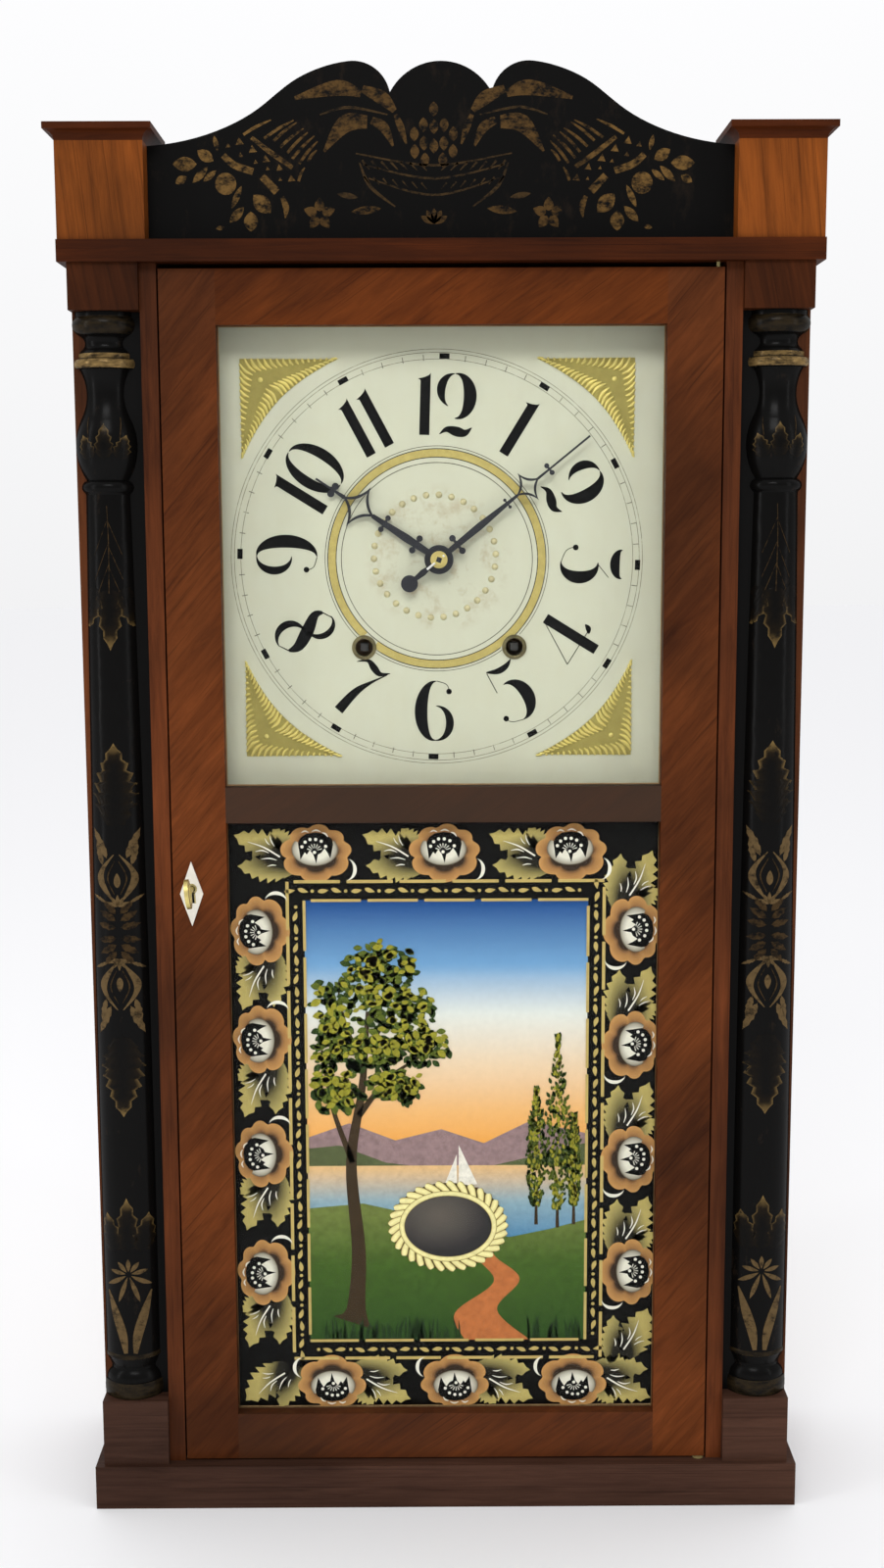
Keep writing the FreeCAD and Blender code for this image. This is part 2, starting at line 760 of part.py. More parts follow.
def make_hands():
    hour_pieces, hour_bore = hand(
        hour_hand_length, knobs=[(0.188, 0.047, 0.022), (0.444, 0.045, 0.019), (0.86, 0.029, 0.0245)],
        shaft_widths=(0.042, 0.056, 0.03), diamond=(0.525, 0.655, 0.785, 0.16, 0.018), tip_width=0.015,
        bore=hour_pipe_radius())
    hour = cut(union(hour_pieces), hour_bore)
    parts["hour_hand"] = set_hand(hour, hour_hand_angle, y_hour_hand)

    minute_pieces, minute_bore = hand(
        minute_hand_length, knobs=[(0.123, 0.041, 0.017), (0.455, 0.022, 0.0085), (0.732, 0.022, 0.013)],
        shaft_widths=(0.028, 0.038, 0.014), diamond=(0.512, 0.592, 0.668, 0.088, 0.0115), tip_width=0.0106,
        bore=arbor_radius)
    tail = [(0.008, -0.197), (0.017, -0.106), (0.008, -0.053)]
    link = [(u * minute_hand_length, v * minute_hand_length) for u, v in tail]
    link += [(-u, v) for u, v in reversed(link)]
    disc = rod_y(0, link[0][1], tail_disc_radius, 0, hand_thickness)
    minute = cut(union(minute_pieces + [disc, plate(link, 0, hand_thickness)]), minute_bore)
    parts["minute_hand"] = set_hand(minute, minute_hand_angle, y_minute_hand)

    x, z = hands
    y_collet = y_minute_hand - collet_height
    collet = cut(rod_y(x, z, collet_radius, y_collet, y_minute_hand),
                 rod_y(x, z, arbor_radius, y_collet, y_minute_hand))
    pin_start = vec(0, 0, arbor_radius + 1.0 - taper_pin_length)
    pin = Part.makeCylinder(taper_pin_radius, taper_pin_length, pin_start)
    pin.rotate(vec(0, 0, 0), vec(0, 1, 0), minute_hand_angle)
    y_pin = y_collet - taper_pin_radius
    parts["hand_collet"] = Part.makeCompound([collet, pin.translate(vec(x, y_pin, z))])


def make_motion_work():
    x, z = hands
    y_nose = y_minute_hand - collet_height - arbor_nose
    shaft = rod_y(x, z, arbor_radius, y_nose, y_back_plate - end_shake)
    pivot = rod_y(x, z, pivot_radius, y_back_plate - end_shake, y_back_plate + pivot_length)
    leaves = pinion(hands, pinion_leaves, great_module, bearing(hands, time_wind),
                    y_time_great - pinion_overlap, y_time_great + great_thickness + pinion_overlap)
    cannon = pinion(hands, cannon_teeth, cannon_module, bearing(hands, motion_axis),
                    y_motion - pinion_overlap / 2, y_front_plate - end_shake)
    spindle = cut(union([shaft, pivot, leaves, cannon]), parts["hand_collet"].Solids[1])
    disc = wheel(hands, center_teeth, center_module, third_direction, y_center, y_center + wheel_thickness)
    disc = cut(disc, rod_y(x, z, arbor_radius, y_center, y_center + wheel_thickness))
    parts["center_wheel"] = Part.makeCompound([spindle, disc])

    hour = wheel(hands, hour_teeth, hour_module, motion_direction, y_hour, y_hour + motion_thickness)
    pipe = rod_y(x, z, hour_pipe_radius(), y_hour_hand, y_hour)
    bore = rod_y(x, z, arbor_radius + running_clearance, y_hour_hand, y_hour + motion_thickness)
    parts["hour_wheel"] = cut(union([hour, pipe]), bore)

    mx, mz = motion_axis
    back = bearing(motion_axis, hands)
    disc = wheel(motion_axis, motion_teeth, cannon_module, back, y_motion, y_motion + motion_thickness)
    y_leaves = y_hour - pinion_overlap / 2
    leaves = pinion(motion_axis, motion_pinion_teeth, hour_module, back, y_leaves, y_motion)
    post = rod_y(mx, mz, pivot_radius, y_motion + motion_thickness, y_front_plate + pivot_length)
    parts["motion_wheel"] = union([disc, leaves, post])


def make_time_train():
    x, z = time_wind
    great = wheel(time_wind, great_teeth, great_module, bearing(time_wind, hands),
                  y_time_great, y_time_great + great_thickness)
    bore = rod_y(x, z, winding_radius + running_clearance, y_time_great, y_time_great + great_thickness)
    parts["time_great_wheel"] = cut(great, bore)
    parts["time_drum"] = winding_drum(time_wind, y_time_cord)

    leaves = pinion(third_axis, pinion_leaves, center_module, third_direction + 180,
                    y_center - pinion_overlap, y_center + wheel_thickness + pinion_overlap)
    y_end = y_third + wheel_thickness
    third = wheel(third_axis, third_teeth, third_module, escape_direction, y_third, y_end)
    third = cut(third, rod_y(*third_axis, arbor_radius, y_third, y_end))
    parts["third_wheel"] = Part.makeCompound([union([arbor(third_axis), leaves]), third])

    ex, ez = escape_axis
    leaves = pinion(escape_axis, pinion_leaves, third_module, escape_direction + 180,
                    y_third - pinion_overlap, y_third + wheel_thickness + pinion_overlap)
    nose = rod_y(ex, ez, pivot_radius, y_escape, y_gap)
    rim = escape_ring()
    rim = cut(rim, rod_y(ex, ez, pivot_radius, y_escape, y_escape + escape_thickness))
    parts["escape_wheel"] = Part.makeCompound([union([arbor(escape_axis), leaves, nose]), rim])


def escape_ring():
    """Thin wheel with pointed teeth and round crossings."""
    pitch = 360.0 / escape_teeth
    points = []
    for tooth in range(escape_teeth):
        points.append(polar(escape_axis, escape_radius, tooth * pitch))
        points.append(polar(escape_axis, escape_radius * 0.9, (tooth + 0.5) * pitch))
    ring = plate(points, y_escape, y_escape + escape_thickness)
    crossings = 5
    windows = []
    for crossing in range(crossings):
        x, z = polar(escape_axis, escape_radius * 0.52, 360.0 / crossings * (crossing + 0.5))
        windows.append(rod_y(x, z, escape_radius * 0.25, y_escape, y_escape + escape_thickness))
    return cut(ring, *windows)


def winding_drum(centre, y_cord):
    """Grooveless drum with end flanges on its winding arbor, with a square for the key."""
    x, z = centre
    y0, y1 = y_cord - drum_length / 2, y_cord + drum_length / 2
    square = winding_square / 2
    y_nose = y_dial + winding_recess
    pieces = [
        rod_y(x, z, winding_radius, y_nose + winding_square_length, y_rail),
        box(x - square, x + square, y_nose, y_nose + winding_square_length, z - square, z + square),
        rod_y(x, z, drum_radius - cord_seat, y0, y1),
        rod_y(x, z, drum_radius + drum_flange, y0, y0 + drum_flange_thickness),
        rod_y(x, z, drum_radius + drum_flange, y1 - drum_flange_thickness, y1),
    ]
    return union(pieces)


def make_strike_train():
    x, z = strike_wind
    great = wheel(strike_wind, great_teeth, great_module, pin_wheel_direction,
                  y_strike_great, y_strike_great + great_thickness)
    y_count = y_front_plate - count_plate_gap - count_thickness
    sleeve = rod_y(x, z, sleeve_radius, y_count, y_strike_great)
    bore = rod_y(x, z, winding_radius + running_clearance, y_count, y_strike_great + great_thickness)
    great = cut(union([great, sleeve]), bore)
    parts["strike_great_wheel"] = Part.makeCompound([great, count_wheel(y_count)])
    parts["strike_drum"] = winding_drum(strike_wind, y_strike_cord)

    leaves = pinion(pin_wheel_axis, pinion_leaves, great_module, pin_wheel_direction + 180,
                    y_strike_great - pinion_overlap, y_strike_great + great_thickness + pinion_overlap)
    disc = wheel(pin_wheel_axis, pin_wheel_teeth, pin_wheel_module, fly_direction,
                 y_pin_wheel, y_pin_wheel + wheel_thickness)
    disc = cut(disc, rod_y(*pin_wheel_axis, arbor_radius, y_pin_wheel, y_pin_wheel + wheel_thickness))
    pins = [polar(pin_wheel_axis, pin_circle(), 45.0 * i) for i in range(pinion_leaves)]
    pin_rods = [rod_y(px, pz, 1.2, y_pin_wheel - 4.0, y_pin_wheel) for px, pz in pins]
    spindle = union([arbor(pin_wheel_axis), leaves])
    parts["pin_wheel"] = Part.makeCompound([spindle, union([disc] + pin_rods)])

    leaves = pinion(fly_axis, pinion_leaves, pin_wheel_module, fly_direction + 180,
                    y_pin_wheel - pinion_overlap, y_pin_wheel + wheel_thickness + pinion_overlap)
    fx, fz = fly_axis
    half = fly_vane / 2
    vane = box(fx - fly_radius, fx + fly_radius, y_fly, y_fly + fly_width, fz - half, fz + half)
    parts["fly"] = union([arbor(fly_axis), leaves, vane])


def pin_circle():
    return pin_wheel_teeth * pin_wheel_module / 2 - 8.0


def count_wheel(y_count):
    """Disc with a notch after each hour's blows, one to twelve."""
    x, z = strike_wind
    disc = rod_y(x, z, count_radius, y_count, y_count + count_thickness)
    blows = 78
    notches = []
    for hour in range(1, 13):
        nx, nz = polar(strike_wind, count_radius, 360.0 * hour * (hour + 1) / 2 / blows)
        notches.append(rod_y(nx, nz, count_notch / 2, y_count, y_count + count_thickness))
    return cut(disc, rod_y(x, z, sleeve_radius, y_count, y_count + count_thickness), *notches)


def make_plates():
    x, z = hands
    half = weight_offset - weight_width / 2 - plate_weight_gap
    low, high = z - plate_fall, z + plate_rise
    front = box(x - half, x + half, y_front_plate, y_gap, low, high)
    back = box(x - half, x + half, y_back_plate, y_rail, low, high)
    pillars = []
    for side in (-1, 1):
        pillars.append((x + side * pillar_spread_top, z + pillar_rise_top))
        pillars.append((x + side * (half - pillar_edge_bottom), z - pillar_fall_bottom))
    for axis in (third_axis, escape_axis, pin_wheel_axis, fly_axis, hammer_axis):
        front, back = pivot_holes(front, axis), pivot_holes(back, axis)
    back = pivot_holes(back, hands)
    front = pivot_holes(front, motion_axis)
    journal = winding_radius + running_clearance
    front = cut(front, rod_y(*hands, arbor_radius + running_clearance, y_front_plate, y_gap),
                rod_y(*time_wind, journal, y_front_plate, y_gap),
                rod_y(*stud, stud_radius, y_front_plate, y_gap),
                rod_y(*strike_wind, sleeve_radius + running_clearance, y_front_plate, y_gap))
    back = cut(back, rod_y(*time_wind, journal, y_back_plate, y_rail),
               rod_y(*strike_wind, journal, y_back_plate, y_rail))
    parts["front_plate"] = front
    parts["back_plate"] = back
    parts["plate_pillars"] = Part.makeCompound(
        [rod_y(*pillar, pillar_radius, y_gap, y_back_plate) for pillar in pillars])
    rails = [low + movement_rail_inset, high - movement_rail_inset - movement_rail_height]
    parts["movement_rails"] = Part.makeCompound(
        [box(x - half, x + half, y_rail, y_board, z0, z0 + movement_rail_height) for z0 in rails])


def make_pendulum():
    x, z = stud
    y_end = y_rod - 2.0
    pin = union([rod_y(x, z, stud_radius, y_end, y_gap), rod_y(x, z, stud_head_radius, y_end - 1.5, y_end)])
    parts["suspension_stud"] = pin
    bore = stud_radius + running_clearance
    eye_half = rod_radius - 0.2
    eye = cut(rod_y(x, z, rod_eye_radius, y_rod - eye_half, y_rod + eye_half),
              rod_y(x, z, bore, y_rod - eye_half, y_rod + eye_half))
    z_bob = z - pendulum_length
    z_nut = z_bob - bob_radius - 6.0
    rod = rod_z(x, y_rod, rod_radius, z_nut, z - bore - 0.4)
    parts["pendulum_rod"] = union([eye, rod])
    half = bob_thickness / 2
    rim = 0.8

    def edge_point(share, thick):
        return vec(x + bob_radius * share, y_rod + thick, z_bob)

    lens = [
        arc(edge_point(0, -half), edge_point(0.62, -0.66 * half), edge_point(1, -rim)),
        line(edge_point(1, -rim), edge_point(1, rim)),
        arc(edge_point(1, rim), edge_point(0.62, 0.66 * half), edge_point(0, half)),
        line(edge_point(0, half), edge_point(0, -half)),
    ]
    bob = Part.Face(Part.Wire(lens)).revolve(vec(x, y_rod, z_bob), vec(0, 1, 0), 360)
    through = rod_z(x, y_rod, rod_radius, z_nut, z)
    nut = cut(rod_z(x, y_rod, 4.0, z_bob - bob_radius - 4.0, z_bob - bob_radius), through)
    parts["pendulum_bob"] = Part.makeCompound([cut(bob, through), nut])

    y0 = y_escape - 1.5
    y1 = y0 + 4.0
    half_outline = [(0.125, 0.104), (0.875, -0.458), (0.896, -0.646),
                    (0.762, -0.758), (0.7, -0.658), (0.125, -0.25)]
    outline = half_outline + [(-a, b) for a, b in reversed(half_outline)]
    anchor = plate([(x + a * escape_radius, z + b * escape_radius) for a, b in outline], y0, y1)
    y_wire = y_rod + rod_radius + cord_seat
    wire = box(x - 0.8, x + 0.8, y_wire, y0, z - crutch_length, z - stud_radius - 1.0)
    z_fork = z - crutch_length
    fork = box(x - 2.6, x + 2.6, y_rod - 2.0, y0, z_fork - 2.0, z_fork)
    slot = rod_radius + 0.4
    fork = cut(fork, box(x - slot, x + slot, y_rod - 2.0, y_wire, z_fork - 2.0, z_fork))
    hub = rod_y(x, z, 4.0, y0, y1)
    parts["verge"] = cut(union([anchor, hub, wire, fork]), rod_y(x, z, bore, y0, y1))


def make_bell():
    x = hands[0] + bell_offset
    z_mouth = z_cornice - bell_stem_length - bell_height
    z_crown = z_cornice - bell_stem_length

    def dome(radius, crown):
        rim = vec(x + radius, y_bell, z_mouth)
        axis_top = vec(x, y_bell, crown)
        shoulder = vec(x + radius * 0.72, y_bell, z_mouth + (crown - z_mouth) * 0.72)
        edges = [line(vec(x, y_bell, z_mouth), rim), arc(rim, shoulder, axis_top),
                 line(axis_top, vec(x, y_bell, z_mouth))]
        return Part.Face(Part.Wire(edges)).revolve(vec(x, y_bell, 0), vec(0, 0, 1), 360)

    cup = cut(dome(bell_radius, z_crown), dome(bell_radius - bell_wall, z_crown - bell_wall))
    stem = rod_z(x, y_bell, bell_stem_radius, z_crown - bell_wall / 2, z_cornice)
    parts["bell"] = union([cup, stem])

    ax, az = hammer_axis
    z_head = z_mouth + hammer_head_radius + 2.0
    x_tip = x - bell_radius - hammer_gap
    x_head = x_tip - hammer_head_length
    head = rod_between(vec(x_head, y_bell, z_head), vec(x_tip, y_bell, z_head), hammer_head_radius)
    neck_end = vec(x_tip - hammer_head_length / 2, y_bell, z_head)
    neck = rod_between(vec(ax, y_bell, az), neck_end, hammer_rod_radius)
    y_tail = y_pin_wheel - 3.6
    tail_end = polar(hammer_axis, hammer_tail, bearing(hammer_axis, pin_wheel_axis))
    tail = rod_between(vec(ax, y_tail, az), vec(tail_end[0], y_tail, tail_end[1]), 1.0)
    parts["hammer"] = union([arbor(hammer_axis), head, neck, tail])


def pulley_centre(side):
    return side * (weight_offset - pulley_radius - cord_radius), z_cornice - pulley_drop


def pulley_pocket_box(side, y_cord):
    """Recess under the cornice that the pulley turns in."""
    x, z = pulley_centre(side)
    reach = pulley_radius + pulley_flange + 1.0
    half = pulley_width / 2 + end_shake
    return box(x - reach, x + reach, y_cord - half, y_cord + half, z_cornice, z_cornice + pulley_pocket)


def make_driver(name, side, wind, y_cord):
    """Pulley, its two ears, cord and weight of one train. The cord is taut from the drum to the weight."""
    x, z = pulley_centre(side)
    half = pulley_width / 2
    rim = pulley_radius + pulley_flange
    groove = pulley_radius - cord_seat
    pieces = [rod_y(x, z, groove, y_cord - half, y_cord + half)]
    for y0 in (y_cord - half, y_cord + half - 2.0):
        pieces.append(rod_y(x, z, rim, y0, y0 + 2.0))
    ear_gap = half + end_shake
    axle_half = ear_gap + pulley_ear_thickness
    pieces.append(rod_y(x, z, pivot_radius, y_cord - axle_half, y_cord + axle_half))
    parts[name + "_pulley"] = union(pieces)
    hole = rod_y(x, z, pivot_radius + running_clearance, y_cord - axle_half, y_cord + axle_half)
    ears = []
    for y0 in (y_cord - axle_half, y_cord + ear_gap):
        ear = box(x - pulley_ear_width / 2, x + pulley_ear_width / 2, y0, y0 + pulley_ear_thickness,
                  z - pulley_ear_width / 2, z_cornice)
        ears.append(cut(ear, hole))

    x_drop = side * weight_offset
    around = pulley_radius + cord_radius
    drum_line = drum_radius + cord_radius
    span = math.hypot(x - wind[0], z - wind[1])
    lean = bearing(wind, (x, z)) + side * (90 - math.degrees(math.asin((drum_line - around) / span)))
    leave = polar(wind, drum_line, lean)
    reach = polar((x, z), around, lean)
    turn = [polar((x, z), around, lean + (90 - 90 * side - lean) * step / 6) for step in range(7)]
    run = Part.Wire([line(vec(leave[0], y_cord, leave[1]), vec(reach[0], y_cord, reach[1])),
                     arc(vec(turn[0][0], y_cord, turn[0][1]), vec(turn[3][0], y_cord, turn[3][1]),
                         vec(turn[6][0], y_cord, turn[6][1]))])
    start = run.Edges[0]
    circle = Part.Wire(Part.makeCircle(cord_radius, start.Vertexes[0].Point,
                                       start.Vertexes[1].Point - start.Vertexes[0].Point))
    cord_run = run.makePipeShell([circle], True, False)

    floor = z_face + weight_floor_gap
    z_weight = floor + weight_height
    hw, hd = weight_width / 2, weight_depth / 2
    body = box(x_drop - hw, x_drop + hw, y_cord - hd, y_cord + hd, floor, z_weight)
    loop_wall = 1.4
    loop = Part.makeTorus(weight_loop, loop_wall, vec(x_drop, y_cord, z_weight + weight_loop), vec(0, 1, 0))
    parts[name + "_weight"] = union([body, loop])
    z_tie = z_weight + 2 * weight_loop + loop_wall + cord_seat
    parts[name + "_cord_drop"] = rod_z(x_drop, y_cord, cord_radius, z_tie, z)
    return ears, cord_run


def make_drivers():
    time_ears, time_run = make_driver("time", 1, time_wind, y_time_cord)
    strike_ears, strike_run = make_driver("strike", -1, strike_wind, y_strike_cord)
    parts["pulley_ears"] = Part.makeCompound(strike_ears + time_ears)
    parts["cord_runs"] = Part.makeCompound([strike_run, time_run])


def main():
    make_base()
    make_case()
    make_columns()
    make_top()
    make_door()
    make_lock()
    make_dial()
    make_hands()
    make_motion_work()
    make_time_train()
    make_strike_train()
    make_plates()
    make_pendulum()
    make_bell()
    make_drivers()
    os.makedirs("parts", exist_ok=True)
    for name, shape in parts.items():
        shape.exportStep("parts/" + name + ".step")
        print(name, len(shape.Solids), round(shape.Volume, 1), shape.isValid())


main()
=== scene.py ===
import math
import random

import bmesh
import bpy
from mathutils import Matrix, Vector
from mathutils.bvhtree import BVHTree


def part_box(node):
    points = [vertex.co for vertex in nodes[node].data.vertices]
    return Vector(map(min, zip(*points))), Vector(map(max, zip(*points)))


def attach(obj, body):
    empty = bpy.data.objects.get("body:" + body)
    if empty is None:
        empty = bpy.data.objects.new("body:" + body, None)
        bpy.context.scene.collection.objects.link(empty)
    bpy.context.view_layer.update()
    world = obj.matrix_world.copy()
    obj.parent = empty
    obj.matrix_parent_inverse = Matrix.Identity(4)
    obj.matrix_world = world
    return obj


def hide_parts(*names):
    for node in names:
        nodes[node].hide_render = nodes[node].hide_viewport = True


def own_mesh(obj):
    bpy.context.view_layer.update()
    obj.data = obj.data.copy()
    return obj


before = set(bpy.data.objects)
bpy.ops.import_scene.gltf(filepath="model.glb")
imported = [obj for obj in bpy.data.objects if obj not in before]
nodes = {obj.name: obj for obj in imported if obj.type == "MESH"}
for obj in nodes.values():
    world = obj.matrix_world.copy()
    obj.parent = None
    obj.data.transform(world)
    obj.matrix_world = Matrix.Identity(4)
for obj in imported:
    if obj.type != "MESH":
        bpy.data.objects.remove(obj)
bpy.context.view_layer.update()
draw = random.Random(7)

# Millimetres in the drawing helpers, metres in Blender
MM = 0.001
WHITE = (1.0, 1.0, 1.0)
BLACK_PAINT = (0.0034, 0.0032, 0.003)
OLD_GOLD = (0.15, 0.083, 0.024)
CREAM = (0.5, 0.507, 0.388)

# Places on the object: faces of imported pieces, the middle of the hands, the step between layers of paint
dial_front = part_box("dial_board")[0].y / MM
glass_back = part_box("tablet_glass")[1].y / MM
splat_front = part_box("splat")[0].y / MM
DIAL_X, DIAL_Z = -2.0, 580.3
SKIN = 0.06


def put(name, data):
    """Object in the scene for a mesh, a lamp or a camera."""
    made = bpy.data.objects.new(name, data)
    bpy.context.scene.collection.objects.link(made)
    return made


def put_mesh(name, mesh, material):
    """Object in the scene made of a finished bmesh."""
    data = bpy.data.meshes.new(name)
    mesh.to_mesh(data)
    mesh.free()
    data.materials.append(material)
    return put(name, data)


class Shader:
    """Node material with a Principled BSDF at its end."""

    def __init__(self, name):
        self.material = bpy.data.materials.new(name)
        self.material.use_nodes = True
        self.tree = self.material.node_tree
        self.tree.nodes.clear()
        self.out = self.add("ShaderNodeOutputMaterial")
        self.bsdf = self.add("ShaderNodeBsdfPrincipled")
        self.link(self.bsdf.outputs[0], self.out.inputs[0])

    def add(self, kind, inputs=(), **settings):
        """New node. inputs are (name or number, value) pairs."""
        node = self.tree.nodes.new(kind)
        for key, value in settings.items():
            setattr(node, key, value)
        for key, value in inputs:
            self.feed(node.inputs[key], value)
        return node

    def link(self, source, target):
        self.tree.links.new(source, target)

    def feed(self, socket, value):
        """Links a socket to another one, or gives it a constant."""
        if isinstance(value, bpy.types.NodeSocket):
            self.link(value, socket)
        elif socket.type == "RGBA":
            socket.default_value = (*value, 1.0)
        else:
            socket.default_value = value

    def set(self, **values):
        for key, value in values.items():
            self.feed(self.bsdf.inputs[key.replace("_", " ")], value)
        return self

    def coords(self, scale=(1, 1, 1), lean=0.0):
        """Object coordinates, leaned about Y and then stretched."""
        vector = self.add("ShaderNodeTexCoord").outputs["Object"]
        for key, value in (("Rotation", (0, lean, 0)), ("Scale", scale)):
            vector = self.add("ShaderNodeMapping", [("Vector", vector), (key, value)]).outputs[0]
        return vector

    def axis(self, source, index):
        return self.add("ShaderNodeSeparateXYZ", [(0, source)]).outputs[index]

    def uv(self):
        return self.add("ShaderNodeTexCoord").outputs["UV"]

    def noise(self, vector, scale, detail=4.0, roughness=0.55, distortion=0.0):
        inputs = [("Vector", vector), ("Scale", scale), ("Detail", detail), ("Roughness", roughness),
                  ("Distortion", distortion)]
        return self.add("ShaderNodeTexNoise", inputs).outputs[0]

    def math(self, operation, a, b=0.5):
        return self.add("ShaderNodeMath", [(0, a), (1, b)], operation=operation).outputs[0]

    def ramp(self, factor, stops, sharp=False):
        """stops are (position, colour or grey level)."""
        node = self.add("ShaderNodeValToRGB", [(0, factor)])
        node.color_ramp.interpolation = "CONSTANT" if sharp else "LINEAR"
        elements = node.color_ramp.elements
        while len(elements) < len(stops):
            elements.new(0.5)
        for element, (position, colour) in zip(elements, stops):
            element.position = position
            element.color = (*colour, 1.0) if isinstance(colour, tuple) else (colour, colour, colour, 1.0)
        return node.outputs[0]

    def mix(self, factor, a, b, blend="MIX"):
        inputs = [(0, factor), (6, a), (7, b)]
        return self.add("ShaderNodeMix", inputs, data_type="RGBA", blend_type=blend).outputs[2]

    def bump(self, height, strength, distance=0.0004):
        inputs = [("Strength", strength), ("Distance", distance), ("Height", height)]
        return self.set(Normal=self.add("ShaderNodeBump", inputs).outputs[0])


def wood(name, dark, light, grain=(1, 1, 0.07), gloss=0.48, figure=0.0, coat=0.015, patches=0.8, overlay=None):
    """Varnished wood. grain scales the figure along X, Y and Z: the small one is the way the grain runs.
    overlay is (axis, steps in metres with a level each, colour): a second colour over part of the piece, such
    as the darker bottom and middle rails and the painted shade on the face boards behind the columns."""
    s = Shader(name)
    broad = s.noise(s.coords(grain, figure), 22, 5, 0.6, 1.2)
    lines = s.noise(s.coords(tuple(3 * g for g in grain), figure), 70, 6, 0.7, 0.6)
    pores = s.noise(s.coords(tuple(5 * g * g for g in grain), figure), 190, 3, 0.6)
    cloud = s.noise(s.coords(), 7, 3)
    tone = s.math("ADD", s.math("MULTIPLY", broad, 0.42), s.math("MULTIPLY", lines, 0.58))
    colour = s.ramp(tone, [(0.3, dark), (0.5, tuple((d + l) / 2 for d, l in zip(dark, light))), (0.7, light)])
    colour = s.mix(s.ramp(pores, [(0.3, 0.5), (0.42, 0.0)]), colour, tuple(0.4 * d for d in dark))
    colour = s.mix(patches, colour, s.ramp(cloud, [(0.36, (0.28, 0.32, 0.4)), (0.64, WHITE)]), "MULTIPLY")
    if overlay:
        axis, steps, second = overlay
        along = s.math("ABSOLUTE", s.axis(s.coords(), axis))
        colour = s.mix(s.ramp(along, steps, sharp=True), colour, second)
    s.set(Base_Color=colour, Roughness=s.ramp(cloud, [(0.3, gloss), (0.7, gloss + 0.14)]))
    s.set(Coat_Weight=coat, Coat_Roughness=0.3, Specular_IOR_Level=0.06)
    return s.bump(s.math("SUBTRACT", lines, pores), 0.12).material


def metal(name, colour, roughness=0.35, metallic=1.0, tarnish=0.4, lump=0.1):
    s = Shader(name)
    spots = s.noise(s.coords(), 160, 5, 0.65)
    grime = s.ramp(spots, [(0.36, tarnish), (0.6, 0.0)])
    base = s.mix(grime, colour, tuple(0.25 * c for c in colour))
    s.set(Base_Color=base, Metallic=metallic)
    s.set(Roughness=s.ramp(spots, [(0.3, roughness + 0.2), (0.7, roughness)]))
    return s.bump(s.noise(s.coords(), 420, 3), lump, 0.0003).material


def paint(name, stops, along="v", mottle=0.25, worn=0.0, under=BLACK_PAINT, roughness=0.45, metallic=0.0,
          gloss=0.05):
    """Paint whose colour follows the drawn shape: u across, v along, r from its middle.
    Or it follows the object: x from the middle line, z up."""
    s = Shader(name)
    if along in "xz":
        factor = s.math("ABSOLUTE", s.axis(s.coords(), "xyz".index(along)))
    elif along == "r":
        factor = s.add("ShaderNodeVectorMath", [(0, s.uv())], operation="LENGTH").outputs["Value"]
    else:
        factor = s.axis(s.uv(), "uv".index(along))
        if along == "u":
            factor = s.math("ABSOLUTE", factor)
    colour = s.ramp(factor, stops)
    grain = s.noise(s.coords(), 330, 5, 0.7)
    colour = s.mix(mottle, colour, s.ramp(grain, [(0.3, 0.25), (0.65, 1.0)]), "MULTIPLY")
    if worn:
        rubbed = s.noise(s.coords((1, 1, 1.6)), 150, 6, 0.75)
        colour = s.mix(s.ramp(rubbed, [(worn - 0.1, 1.0), (worn + 0.08, 0.0)]), colour, under)
    s.set(Base_Color=colour, Roughness=roughness, Metallic=metallic, Specular_IOR_Level=gloss)
    return s.bump(grain, 0.08, 0.0002).material


def flat_paint(name, colour, **more):
    return paint(name, [(0.0, colour), (1.0, colour)], **more)


def ebonised():
    """Black paint over wood, with rubbed brown places and fine scratches."""
    s = Shader("ebonised_splat")
    wear = s.noise(s.coords((1, 1, 0.5)), 60, 7, 0.75)
    fine = s.noise(s.coords((6, 6, 0.8)), 160, 4, 0.7)
    colour = s.mix(s.ramp(wear, [(0.56, 0.0), (0.74, 0.7)]), BLACK_PAINT, (0.018, 0.012, 0.008))
    s.set(Base_Color=colour, Roughness=s.ramp(wear, [(0.3, 0.36), (0.7, 0.55)]), Specular_IOR_Level=0.04)
    return s.bump(fine, 0.12).material


def column_finish():
    """Ebonised turning with rubbed gilt on its beads and its lowest torus."""
    s = Shader("column_black_and_gilt")
    height = s.axis(s.coords(), 2)
    bands = {680.0: [(689.6, 0.7), (694.5, 0.2), (695.3, 0.6), (697.8, 0.0), (708.5, 0.05), (718.4, 0.0)],
             65.0: [(68.7, 0.06), (78.6, 0.0), (94.0, 0.06), (97.0, 0.0)]}
    span = 45.0
    levels = []
    for foot, steps in bands.items():
        share = s.math("DIVIDE", s.math("SUBTRACT", height, foot * MM), span * MM)
        stops = [(0.0, 0.0)] + [((z - foot) / span, level) for z, level in steps]
        levels.append(s.ramp(share, stops, sharp=True))
    mask = s.math("ADD", *levels)
    rub = s.noise(s.coords((1, 1, 3)), 110, 6, 0.75)
    gilt = s.math("MULTIPLY", mask, s.ramp(rub, [(0.38, 0.1), (0.6, 1.0)]))
    wear = s.noise(s.coords((1, 1, 0.5)), 70, 7, 0.75)
    black = s.mix(s.ramp(wear, [(0.6, 0.0), (0.76, 0.6)]), BLACK_PAINT, (0.03, 0.018, 0.01))
    s.set(Base_Color=s.mix(gilt, black, (0.36, 0.23, 0.085)), Metallic=s.math("MULTIPLY", gilt, 0.6))
    s.set(Roughness=s.ramp(wear, [(0.3, 0.16), (0.7, 0.3)]), Specular_IOR_Level=0.06)
    return s.bump(wear, 0.1).material


